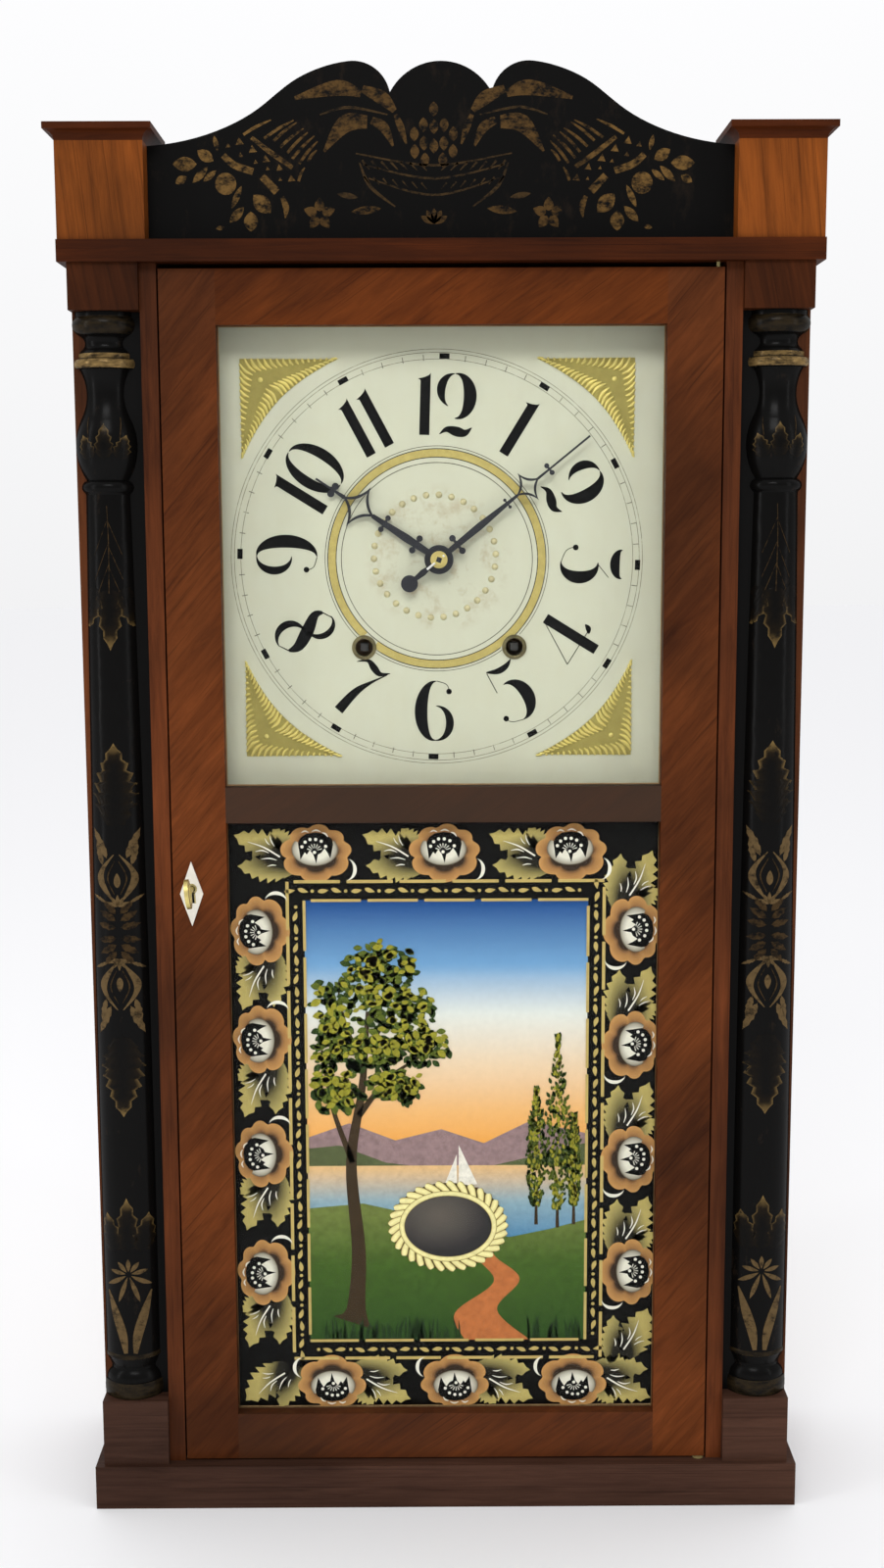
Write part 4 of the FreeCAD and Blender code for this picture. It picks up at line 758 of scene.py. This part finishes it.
def draw_border():
    petal = paint("flower_petal", [(0.0, (0.02, 0.013, 0.008)), (0.6, (0.035, 0.022, 0.014)),
                                   (0.74, (0.3, 0.15, 0.055)), (1.0, (0.5, 0.26, 0.085))],
                  "r", 0.15, roughness=0.5)
    cup = paint("flower_cup", [(0.0, (0.72, 0.69, 0.58)), (0.6, (0.7, 0.67, 0.56)), (0.9, (0.36, 0.33, 0.26)),
                               (1.0, (0.1, 0.08, 0.05))], "r", 0.1)
    leaf = paint("border_leaf", [(0.0, (0.012, 0.011, 0.009)), (0.42, (0.02, 0.018, 0.012)),
                                 (0.78, (0.3, 0.25, 0.09)), (1.0, (0.47, 0.38, 0.125))], "r", 0.2)
    pale = flat_paint("border_cream", (0.74, 0.71, 0.61), mottle=0.1)
    gold = flat_paint("border_gold", (0.5, 0.37, 0.125), mottle=0.2)
    dark = flat_paint("border_dark", BLACK_PAINT)

    petals = glass_sheet("tablet_petals", petal, 3)
    cups = glass_sheet("tablet_flower_cups", cup, 2)
    hearts = glass_sheet("tablet_flower_hearts", dark, 1)
    dots = glass_sheet("tablet_flower_dots", pale, 0)
    leaves = glass_sheet("tablet_leaves", leaf, 4, columns=6)
    for x, z, turn in FLOWERS + CORNER_LEAVES:
        here = Place(x, z, turn)
        border_leaves(leaves, here, turn, CORNER_LOBES if (x, z, turn) in CORNER_LEAVES else LEAF_LOBES)
        for knots in LEAF_VEINS:
            dots.stroke(knots, here, steps=4)
    for x, z, turn in FLOWERS:
        here = Place(x, z, turn)
        petals.disc(*PETAL_SIZE, here, dents=PETAL_DENTS, depth=0.17, sides=72, rings=5)
        cups.disc(*CUP_SIZE, Place(*here(-0.6, 2.5), turn), sides=32, rings=4, arc=CUP_ARC)
        hearts.polygon(HEART, here)
        for u, v in FLOWER_DOTS:
            dots.disc(1.0, 1.0, Place(*here(u, v)), sides=10)
        for k in range(7):
            a = math.radians(-72 + 24 * k)
            dots.stroke([(1.7 * math.sin(a) - 0.8, 1.6 + 1.7 * math.cos(a), 0.25),
                         (4.6 * math.sin(a) - 0.8, 1.6 + 4.4 * math.cos(a), 0.6)], here, steps=1)
        for knots in FLOWER_ARCS:
            dots.stroke(knots, here, steps=4)
    make_all("painted_glass", petals, cups, hearts, dots, leaves)

    lines = glass_sheet("tablet_gold_lines", gold, 2)
    for limits, width in ((VIEW, 1.7), (RIM, 1.9)):
        gold_rectangle(lines, limits, width)
    chain(lines)
    lines.make("painted_glass")
    ground = glass_sheet("tablet_black_ground", dark, 20)
    low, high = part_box("tablet_glass")
    edge = 2.0
    x0, x1 = low.x / MM + edge, high.x / MM - edge
    z0, z1 = low.z / MM + edge, high.z / MM - edge
    ground.polygon(rectangle(x0, x1, z0, z1))
    ground.make("painted_glass")


def border_leaves(sheet, here, turn, lobes):
    """Toothed lobes beside a flower or in a corner, dark where they meet and gold outside."""
    def shade(x, z):
        u, v = here.back(x, z)
        return (u + 16.0) / 34.0, (v + 2.5) / 15.0

    for u, v, lean, length, width in lobes:
        sheet.leaf(length, width, Place(*here(u, v), turn + lean), teeth=7, blunt=0.9, bite=0.38, shade=shade)


def gold_rectangle(sheet, limits, width, gap=4.0, pitch=34.0):
    """Gold line round a rectangle, broken by small dark ties."""
    for a, b in sides_of(*limits):
        length = (b - a).length
        count = round(length / pitch)
        for k in range(count):
            start, end = a.lerp(b, k / count), a.lerp(b, (k + 1) / count - gap / length)
            sheet.stroke([(*start, width), (*end, width)], steps=1)


def sides_of(x0, x1, z0, z1):
    corners = [Vector(c) for c in rectangle(x0, x1, z0, z1)]
    return zip(corners, corners[1:] + corners[:1])


def chain(sheet, pitch=19.0):
    """Dots and leaf pairs between the two gold lines."""
    for a, b in sides_of(*[(p + q) / 2 for p, q in zip(VIEW, RIM)]):
        ahead = b - a
        count = round(ahead.length / pitch)
        turn = math.degrees(math.atan2(ahead.x, ahead.y))
        for k in range(count):
            here = Place(*a.lerp(b, (k + 0.5) / count), turn)
            sheet.disc(1.05, 1.05, here, sides=10)
            for along, lean in ((2.4, 14), (10.2, -12)):
                root = here(-math.copysign(0.6, lean), along)
                sheet.leaf(6.6, 2.7, Place(*root, turn + lean), bend=0.5, blunt=1.3)


# Trees of the view: trunk and branches as strokes, clumps of leaves by middle and half sizes,
# poplars by x, foot, top and width
TRUNK = [(-57, 112, 25), (-55.5, 117, 15), (-54.5, 127, 10.5), (-53, 160, 8.5), (-57, 215, 6.5),
         (-50, 262, 4.5),
         (-46, 310, 2.5)]
BRANCHES = [[(-56, 215, 4), (-68, 250, 2.6), (-74, 286, 1.4)],
            [(-52, 245, 4), (-34, 268, 2.6), (-14, 282, 1.2)],
            [(-49, 275, 3), (-60, 304, 1.8), (-64, 326, 1.0)],
            [(-48, 285, 2.6), (-32, 308, 1.6), (-22, 322, 1.0)]]
CLUMPS = [(-66, 262, 15, 12), (-71, 292, 12, 15), (-57, 320, 22, 16), (-38, 340, 20, 13),
          (-26, 314, 20, 13), (-14, 290, 18, 10), (-44, 288, 16, 11), (-30, 264, 14, 8)]
POPLARS = [(56, 178, 262, 13), (69, 176, 296, 15), (79, 178, 246, 9)]
# Tones of leaves: their count in a clump and shift up, their count in a poplar and share of its width
LEAF_TONES = [("view_leaves_dark", 64, -2.5, 240, 1.0), ("view_leaves_mid", 46, 0.5, 130, 0.85),
              ("view_leaves_light", 26, 2.6, 60, 0.6)]
REEDS = 120


def draw_view():
    """Landscape of this library's own: lake, hills, tree, poplars, path and a small boat."""
    x0, x1, z0, z1 = VIEW
    sky = paint("view_sky", [(0.215, (0.76, 0.3, 0.02)), (0.248, (0.76, 0.42, 0.16)),
                             (0.278, (0.73, 0.56, 0.38)),
                             (0.308, (0.66, 0.68, 0.63)), (0.338, (0.15, 0.32, 0.54)),
                             (0.378, (0.008, 0.055, 0.21))], "z", 0.08)
    lake = paint("view_lake_paint", [(0.165, (0.06, 0.2, 0.36)), (0.19, (0.25, 0.38, 0.44)),
                                     (0.212, (0.72, 0.45, 0.2))], "z")
    grass = paint("view_grass_paint", [(0.1, (0.03, 0.075, 0.015)), (0.15, (0.06, 0.12, 0.02)),
                                       (0.185, (0.16, 0.2, 0.05))], "z", 0.5)
    plain = {
        "view_far_hills": (13, (0.3, 0.2, 0.2)), "view_near_hills": (12, (0.1, 0.12, 0.05)),
        "view_boat_hull": (9, (0.12, 0.05, 0.02)), "view_boat_sail": (9, (0.8, 0.76, 0.66)),
        "view_path": (8, (0.5, 0.16, 0.05)), "view_trunk": (7, (0.05, 0.032, 0.016)),
        "view_leaves_dark": (6, (0.03, 0.055, 0.012)), "view_leaves_mid": (5, (0.1, 0.13, 0.018)),
        "view_leaves_light": (4, (0.3, 0.28, 0.03)), "view_reeds": (3, (0.02, 0.045, 0.015)),
    }
    sheets = {name: glass_sheet(name, flat_paint(name + "_paint", colour, mottle=0.45), number)
              for name, (number, colour) in plain.items()}
    for name, material, number in (("view_sky", sky, 14), ("view_lake", lake, 11), ("view_grass", grass, 10)):
        sheets[name] = glass_sheet(name, material, number)
    left_edge = spline([(12, z0, 0), (6, 118, 0), (30, 138, 0), (20, 155, 0), (33, 168, 0)], 8)
    right_edge = spline([(52, z0, 0), (32, 120, 0), (46, 140, 0), (30, 156, 0), (36, 168, 0)], 8)
    outlines = [
        ("view_sky", rectangle(x0, x1, 210, z1)),
        ("view_lake", rectangle(x0, x1, 160, 213)),
        ("view_grass", [(x0, z0), (x1, z0), (x1, 178), (64, 172), (40, 167), (8, 172), (-20, 182), (-50, 189),
                        (x0, 186)]),
        ("view_far_hills", [(x0, 211), (x1, 211), (x1, 233), (52, 241), (24, 227), (-2, 236), (-30, 229),
                            (-58, 240), (x0, 231)]),
        ("view_near_hills", [(x0, 209), (x1, 209), (x1, 227), (56, 219), (28, 212.5), (-14, 212), (-36, 215),
                             (-64, 226), (x0, 224)]),
        ("view_path", [tuple(p.xy) for p in left_edge + right_edge[::-1]]),
        ("view_boat_hull", [(-2, 198.5), (1, 195), (17, 195), (21, 199)]),
        ("view_boat_sail", [(8.6, 200), (8.6, 226), (20, 201)]),
        ("view_boat_sail", [(7.4, 201), (7.4, 220), (0, 201)]),
    ]
    for name, outline in outlines:
        sheets[name].polygon(outline)
    draw_trees(sheets)
    make_all("painted_glass", *sheets.values())


def draw_trees(sheets):
    """Round tree, poplars and reeds, with leaves thrown at random inside the view."""
    x0, x1, z0, z1 = VIEW
    trunk = sheets["view_trunk"]
    trunk.stroke(TRUNK, steps=6)
    for knots in BRANCHES:
        trunk.stroke(knots, steps=5)
    for name, count, shift, _, _ in LEAF_TONES:
        for cx, cz, rx, rz in CLUMPS:
            for _ in range(count):
                a, r = draw.uniform(0, 2 * math.pi), math.sqrt(draw.random())
                x, z = cx + rx * r * math.cos(a), cz + rz * r * math.sin(a) + shift
                size = draw.uniform(4.2, 7.5)
                if x > x0 + size and z < z1 - size:
                    sheets[name].leaf(size, size * 0.62, Place(x, z, draw.uniform(60, 300)), blunt=1.0)
    for x, foot, top, width in POPLARS:
        trunk.stroke([(x, foot - 3, 2.2), (x, foot + 14, 1.4)], steps=2)
        for name, _, _, count, share in LEAF_TONES:
            for _ in range(count):
                t = draw.random()
                half = width / 2 * share * math.sin(math.pi * min(1.0, 0.08 + t)) ** 0.7
                px = x + draw.uniform(-half, half)
                pz = foot + 8 + t * (top - foot - 10)
                size = draw.uniform(2.4, 4.2)
                if px < x1 - size * 0.5:
                    sheets[name].leaf(size, size * 0.5, Place(px, pz, draw.uniform(-35, 35)))
    for _ in range(REEDS):
        x = draw.uniform(x0 + 3, x1 - 3)
        if 10 < x < 50:
            continue
        lean = draw.uniform(-3, 3)
        tall = draw.uniform(6, 17)
        if abs(x + lean) < x1 - 2:
            knots = [(x, z0 + 0.3, 1.3), (x + lean * 0.3, z0 + tall * 0.6, 1.0), (x + lean, z0 + tall, 0.2)]
            sheets["view_reeds"].stroke(knots, steps=3)


def draw_oval():
    """Oval window filled with painted shade, lighter towards its upper left as a painted sheen, with a gilt
    rope round it.
    """
    window_shade_paint = paint("oval_painted_shade_and_sheen", [(0.0, (0.11, 0.095, 0.078)), (0.5, (0.075, 0.066, 0.058)),
                                (1.2, (0.03, 0.028, 0.029))], "r", 0.1)
    pale = [(0.0, (0.84, 0.77, 0.38)), (0.65, (0.76, 0.67, 0.29)), (0.9, (0.33, 0.25, 0.08)),
            (1.0, (0.05, 0.035, 0.01))]
    here = Place(2.0, 174.3)
    # Painted shade with a painted sheen fills the oval window, standing for the dark inside of the case
    dark = glass_sheet("tablet_oval_painted_shade", window_shade_paint, 3)
    dark.disc(30.0, 23.0, here, sides=64, rings=6, sheen=(-0.2, 0.3))
    under = glass_sheet("tablet_rope_shadow", flat_paint("rope_shadow", (0.06, 0.045, 0.012)), 2)
    strands = glass_sheet("tablet_rope", paint("oval_rope", pale, "u", 0.2), 1, columns=4)
    ring = glass_sheet("tablet_oval_ring", paint("oval_ring", pale, "u", 0.3), 0, columns=4)
    count = 33
    reach_x, reach_z = 7.0, 6.4
    rim = []
    for k in range(count + 1):
        a = 2 * math.pi * k / count
        rim.append((28.3 * math.sin(a), 21.1 * math.cos(a), 3.4))
        if k < count:
            knots = []
            for share, width in ((0.0, 3.4), (0.5, 4.3), (0.85, 4.2), (1.0, 2.6)):
                b = a - 0.2 * share
                knots.append(((29.2 + reach_x * share) * math.sin(b),
                              (22.0 + reach_z * share) * math.cos(b), width))
            strands.stroke(knots, here, steps=3)
    ring.stroke(rim, here, steps=3)
    under.stroke([(u * 1.14, v * 1.17, 6.4) for u, v, _ in rim], here, steps=3)
    make_all("painted_glass", dark, under, strands, ring)


# Splat: worn gold stencil, drawn for its right half about the middle line and mirrored
SPLAT_AXIS = -4.0
# Leaves up the middle line, and the small ones beside them
SPINE_LEAVES = [828, 818.5, 808]
INNER_LEAVES = [(5.8, 819.5), (11.0, 814.5), (5.6, 809.5), (10.8, 805), (5.0, 800.5)]
# Broad strokes of the scrolls and stems of the cornucopia: knots of u, v and width
SCROLLS = [[(15.5, 813, 1.0), (18.5, 822, 4.0), (21.5, 829, 2.4)],
           [(22.0, 831, 3.0), (29.0, 838, 7.5), (40.0, 843, 4.0)],
           [(41.0, 840, 3.5), (54.0, 843.5, 8.5), (78.0, 838, 2.0)],
           [(23.0, 812, 1.2), (28.0, 822, 5.5), (35.0, 826, 4.0)],
           [(37.5, 825, 7.0), (50.0, 824, 9.5), (62.0, 809, 1.2)]]
STEMS = [[(102.7, 816.8, 2.2), (91.6, 808.4, 2.9), (79.9, 800.4, 2.4)],
         [(118.8, 807.3, 3.4), (112.7, 802.0, 4.0), (102.1, 798.3, 3.8)],
         [(97.1, 795.7, 4.0), (88.8, 787.2, 4.5)],
         [(86.0, 784.5, 2.2), (83.8, 778.7, 3.6), (84.4, 772.9, 0.5)]]
# Thin ribs: both ends. Chips: middle and size. Loose leaves: root, turn, length and width
RIBS = [(107.2, 818.4, 91.6, 826.3), (95.5, 816.3, 78.8, 826.1), (90.5, 814.7, 77.2, 824.8),
        (86.6, 811.5, 73.3, 821.6), (82.5, 808.4, 71.0, 819.5), (79.9, 805.2, 67.2, 817.7),
        (76.0, 802.5, 65.5, 814.7), (71.0, 803.6, 66.0, 809.9), (76.5, 793.0, 73.0, 800.4)]
CHIPS = [(115.8, 812.6, 1.6), (109.4, 814.7, 2.4), (108.8, 807.3, 1.5), (102.1, 810.5, 2.4),
         (100.5, 803.6, 1.3), (94.7, 805.2, 2.4), (93.8, 799.9, 1.1), (87.1, 800.4, 2.0),
         (86.8, 794.1, 1.1), (80.5, 794.6, 2.2)]
LOOSE_LEAVES = [(133.8, 802.5, 90, 13.5, 8.0), (124.4, 804.1, 57, 10.6, 6.5), (121.8, 809.4, 13, 8.7, 2.8),
                (139.6, 795.7, 120, 7.4, 4.6), (127.7, 800.9, 135, 12.2, 4.2),
                (122.9, 799.0, 129, 9.5, 3.4), (108.8, 790.6, 155, 13.7, 3.6),
                (107.7, 778.9, 136, 11.6, 5.0), (102.1, 785.6, 224, 13.7, 9.0),
                (103.8, 776.5, 180, 11.0, 8.0), (118.8, 768.0, 100, 5.0, 2.6)]


def draw_splat():
    gold = Sheet("splat_stencil", stencil_gold, "case", splat_front - SKIN)
    faint = Sheet("splat_stencil_faint", stencil_faint, "case", splat_front - SKIN)
    for flip in (1, -1):
        splat_half(gold, faint, Place(SPLAT_AXIS, 0.0, flip=flip), flip)
    for v in SPINE_LEAVES:
        gold.leaf(8.0, 5.2, Place(SPLAT_AXIS, v), blunt=1.0)
    for spread in (-60, -30, 0, 30, 60):
        gold.leaf(8.5, 3.6, Place(SPLAT_AXIS, 769.5, spread), blunt=1.1)
    for drop, reach in ((0.0, 44.0), (6.0, 40.0), (13.5, 37.0)):
        knots = [(-reach, 808 - drop, 0.8), (0, 801.5 - 1.2 * drop, 1.3), (reach, 808 - drop, 0.8)]
        faint.stroke(knots, Place(SPLAT_AXIS, 0.0), steps=8)
    make_all("ebonised", gold, faint)


def splat_half(gold, faint, half, flip):
    """Scroll, cornucopia with fruit and leaves, flower and veins on one side of the middle line."""
    def leaf(sheet, u, v, turn, length, width):
        sheet.leaf(length, width, Place(*half(u, v), flip * turn), blunt=1.0)

    for u, v in INNER_LEAVES:
        leaf(gold, u, v, 0, 8.0, 5.0)
    for knots in SCROLLS:
        gold.stroke(knots, half)
    faint.stroke([(26.0, 829, 0.8), (48.0, 833, 1.6), (64.0, 829, 0.8)], half)
    for a, b, c, d in RIBS:
        gold.stroke([(a, b, 1.5), ((a + c) / 2 + 0.4, (b + d) / 2 + 0.4, 1.7), (c, d, 0.7)], half, steps=3)
    for knots in STEMS:
        gold.stroke(knots, half, steps=4)
    for u, v, size in CHIPS:
        corners = [(u - size, v - 0.6 * size), (u + 0.9 * size, v - 0.8 * size), (u + 0.2 * size, v + size)]
        gold.polygon(corners, half)
    gold.disc(6.0, 6.1, Place(*half(117.7, 791.7)), sides=20)
    for u, v, turn, length, width in LOOSE_LEAVES:
        leaf(gold, u, v, turn, length, width)
    for turn in range(0, 360, 72):
        gold.leaf(7.6, 5.6, Place(*Place(*half(64.9, 774.9), turn)(0, 1.6), turn), blunt=0.75)
    leaf(gold, 30.0, 778, 96, 17.0, 4.6)
    leaf(faint, 43.0, 784, 80, 12.0, 3.4)
    faint.stroke([(42.0, 803, 0.8), (36.0, 790, 2.0), (22.0, 779, 0.8)], half)
    for k in range(7):
        u = 4.0 + 5.4 * k
        faint.stroke([(u, 798.6 + 0.12 * k, 0.5), (u + 4.2, 802.5 + 0.3 * k, 1.4)], half, steps=1)
        faint.stroke([(u, 788.5 + 0.5 * k, 0.4), (u + 3.2, 792.0 + 0.6 * k, 1.0)], half, steps=1)


# Columns: leaf stencils laid on the turnings
COLUMN_RADIUS = 17.9
COLUMN_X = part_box("columns")[1].x / MM - COLUMN_RADIUS


def draw_columns():
    gold = Sheet("column_stencils", column_gold, "case", on="columns", columns=14)
    fine = Sheet("column_fine_lines", stencil_faint, "case", on="columns", columns=6)
    full = Sheet("column_gold_leaves", foot_gold, "case", on="columns", columns=6)
    for flip in (1, -1):
        x = flip * COLUMN_X
        crown(gold, x, 637.5, 1, 21.0, 0.8)
        crown(gold, x, 567.0, -1, 38.0, 0.7)
        fine.stroke([(x, 612, 0.4), (x + 0.5, 590, 0.6), (x, 562, 0.6)], steps=6)
        for side in (-1, 1):
            edge = x + 9 * side
            fine.stroke([(edge, 650, 0.5), (x + 9.5 * side, 657, 0.5), (edge, 662, 0.3)], steps=3)
            for v in (604, 590, 578):
                fine.stroke([(x, v, 0.3), (x + side * 4, v - 10, 0.4), (x + side * 8, v - 20, 0.3)], steps=5)
        for sense in (1, -1):
            medallion_half(gold, fine, full, x, sense)
        column_foot(gold, full, x)
    make_all("ebonised", gold, fine, full)


def crown(sheet, x, z, sense, height, spread):
    """Three toothed leaves side by side, pointing up or down."""
    for u, lean, share in ((-8.2, -20, 0.72), (8.2, 20, 0.72), (0.0, 0, 1.0)):
        turn = lean * spread if sense > 0 else 180 - lean * spread
        width = 0.3 * height + 5.0 * share
        sheet.leaf(height * share, width, Place(x + u, z, turn), teeth=5, blunt=0.65, tipped=0.55)


def medallion_half(gold, fine, full, x, sense, middle=362.0):
    """Upper or lower half of the long ornament: star, oval of crescents, feathers and one large leaf."""
    def at(side, u, v):
        return x + side * u, middle + sense * v

    def turned(angle):
        return angle if sense > 0 else 180 - angle

    def curve(sheet, side, knots):
        sheet.stroke([(*at(side, u, v), width) for u, v, width in knots], steps=8)

    gold.leaf(52, 27, Place(*at(1, 0, 61), turned(0)), teeth=8, blunt=0.7, tipped=0.75)
    full.leaf(9, 4, Place(*at(1, 0, 27), turned(0)))
    for side in (-1, 1):
        for u, v, angle, length in ((5.5, 44, 24, 20), (8.5, 40, 14, 15), (7.0, 18, 62, 9)):
            full.leaf(length, 0.26 * length, Place(*at(side, u, v), turned(side * angle)), teeth=4)
        curve(full, side, [(1.6, 47, 0.5), (8.6, 38, 2.6), (9.6, 30, 4.2), (2.6, 19, 0.6)])
        curve(fine, side, [(1.2, 43, 0.4), (5.6, 33, 0.9), (1.8, 23, 0.4)])
        for v, angle in ((3, 80), (7, 60), (11, 42)):
            fine.leaf(12, 5, Place(*at(side, 1.0, v), turned(side * angle)), teeth=3)
    for angle in (-70, -35, 0, 35, 70):
        full.leaf(7, 2.4, Place(*at(1, 0, 16), turned(angle)))


def column_foot(gold, full, x):
    """Leaf, drooping flower and a pair of blades."""
    crown(gold, x, 162.0, 1, 36.0, 0.5)
    for k in range(9):
        a = 40.0 * k
        reach = 8.0 + 10.0 * math.sin(math.radians(a / 2)) ** 4
        full.leaf(reach, 2.8, Place(*Place(x, 149.5, a)(0, 1.8), a), blunt=1.1)
    for side in (-1, 1):
        full.stroke([(x + 3.0 * side, 98.5, 2.4), (x + 4.6 * side, 110, 5.6), (x + 8.4 * side, 123, 5.4),
                     (x + 13.0 * side, 138, 0.8)], steps=8)


# Cords down to the weights, as plain cylinders, in metres
CORD_RADIUS = 0.0009


def make_drop(train):
    low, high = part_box(train + "_cord_drop")
    middle = (low + high) / 2
    length = high.z - low.z
    mesh = bmesh.new()
    bmesh.ops.create_cone(mesh, cap_ends=True, segments=10, radius1=CORD_RADIUS, radius2=CORD_RADIUS,
                          depth=length)
    cord = put_mesh(train + "_cord_soft", mesh, linen)
    cord.location = middle
    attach(cord, "case")
    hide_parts(train + "_cord_drop")
    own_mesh(cord)


# Keyhole: middle of its round part, upper and lower end of its slot
KEYHOLE_Z, KEYHOLE_RADIUS = 388.1, 2.7
SLOT_TOP, SLOT_FOOT = 386.0, 379.5


def make_keyhole():
    """Brass lining round the keyhole, with its slot below drawn as a near-black stroke of painted shade."""
    low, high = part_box("escutcheon")
    x = (low.x + high.x) / 2 / MM
    lining = Sheet("keyhole_lining", brass, "door", low.y / MM - SKIN)
    lining.ring(KEYHOLE_RADIUS, 1.1, Place(x, KEYHOLE_Z), sides=28)
    for side in (-1, 1):
        lining.stroke([(x + 1.7 * side, SLOT_TOP, 0.8), (x + 2.2 * side, SLOT_FOOT, 0.8)], steps=2)
    lining.make("brass")
    # Painted shade: a near-black stroke stands for the dark inside of the keyhole's slot
    slot = Sheet("keyhole_slot", flat_paint("keyhole_painted_shade", (0.004, 0.004, 0.004)), "door", low.y / MM - SKIN)
    slot.stroke([(x, SLOT_TOP + 0.3, 2.6), (x, SLOT_FOOT + 0.1, 3.6)], steps=2)
    slot.make("bone")


draw_numerals()
draw_dial_lines()
dress_arbor()
raise_dial_gilding()
draw_border()
draw_view()
draw_oval()
draw_splat()
draw_columns()
make_keyhole()
for train in ("time", "strike"):
    make_drop(train)


# Stage: a white floor in a white room, soft lamps and the camera of the photograph, in metres and degrees
FLOOR_REACH = 12.0
FLOOR_COLOUR = (0.96, 0.96, 0.97)
# Room: its colour, its level, and how much brighter it gets along X, Y and Z
ROOM_COLOUR = (0.99, 0.99, 1.0, 1.0)
ROOM_LEVEL = 0.71
ROOM_RISE = (0.0, 0.21, 0.33)
# Lamps: name, place, aim, size and power
LAMPS = [("key_above", (-0.2, -1.9, 1.9), (0, 0, 0.5), (1.0, 0.6), 15.0),
         ("left_panel", (-1.9, -1.0, 0.9), (0, 0, 0.45), (0.2, 1.8), 6.5),
         ("right_panel", (1.9, -1.3, 0.9), (0, 0, 0.45), (0.2, 1.8), 4.5)]
CAMERA_PLACE = (-0.0049, -1.1085, 0.6019)
CAMERA_TILT, CAMERA_PAN, CAMERA_ROLL = 8.2, 0.224, -0.213
CAMERA_SENSOR, CAMERA_LENS = 36.0, 41.67


def make_stage():
    s = Shader("white_floor").set(Base_Color=FLOOR_COLOUR, Roughness=0.9, Specular_IOR_Level=0.0)
    data = bpy.data.meshes.new("floor")
    corners = rectangle(-FLOOR_REACH, FLOOR_REACH, -FLOOR_REACH, FLOOR_REACH)
    data.from_pydata([(x, y, 0) for x, y in corners], [], [(0, 1, 2, 3)])
    data.materials.append(s.material)
    floor = put("floor", data)


def make_lamp(name, place, aim, size, power):
    lamp = bpy.data.lights.new(name, "AREA")
    lamp.shape = "RECTANGLE"
    lamp.size, lamp.size_y = size
    lamp.energy = power
    made = put(name, lamp)
    made.location = place
    made.rotation_mode = "QUATERNION"
    made.rotation_quaternion = (Vector(aim) - Vector(place)).to_track_quat("-Z", "Y")


def make_camera():
    data = bpy.data.cameras.new("photo_camera")
    data.sensor_width = CAMERA_SENSOR
    data.lens = CAMERA_LENS
    tilt, pan, roll = (math.radians(a) for a in (CAMERA_TILT, CAMERA_PAN, CAMERA_ROLL))
    ahead = Vector((math.sin(pan) * math.cos(tilt), math.cos(pan) * math.cos(tilt), -math.sin(tilt)))
    right = Vector((math.cos(pan), -math.sin(pan), 0))
    up = right.cross(ahead)
    across = math.cos(roll) * right + math.sin(roll) * up
    above = -math.sin(roll) * right + math.cos(roll) * up
    turn = Matrix((across, above, -ahead)).transposed().to_4x4()
    camera = put("photo_camera", data)
    camera.matrix_world = Matrix.Translation(CAMERA_PLACE) @ turn
    bpy.context.scene.camera = camera


def make_world():
    """White room, a little brighter above and behind the object than in front of it."""
    world = bpy.data.worlds.new("white_room")
    world.use_nodes = True
    tree = world.node_tree
    back = tree.nodes["Background"]
    back.inputs["Color"].default_value = ROOM_COLOUR
    rise = tree.nodes.new("ShaderNodeVectorMath")
    rise.operation = "DOT_PRODUCT"
    tree.links.new(tree.nodes.new("ShaderNodeTexCoord").outputs["Generated"], rise.inputs[0])
    rise.inputs[1].default_value = ROOM_RISE
    level = tree.nodes.new("ShaderNodeMath")
    tree.links.new(rise.outputs["Value"], level.inputs[0])
    level.inputs[1].default_value = ROOM_LEVEL
    tree.links.new(level.outputs[0], back.inputs["Strength"])
    bpy.context.scene.world = world


make_stage()
for lamp in LAMPS:
    make_lamp(*lamp)
make_camera()
make_world()
bpy.context.scene.view_settings.view_transform = "Standard"
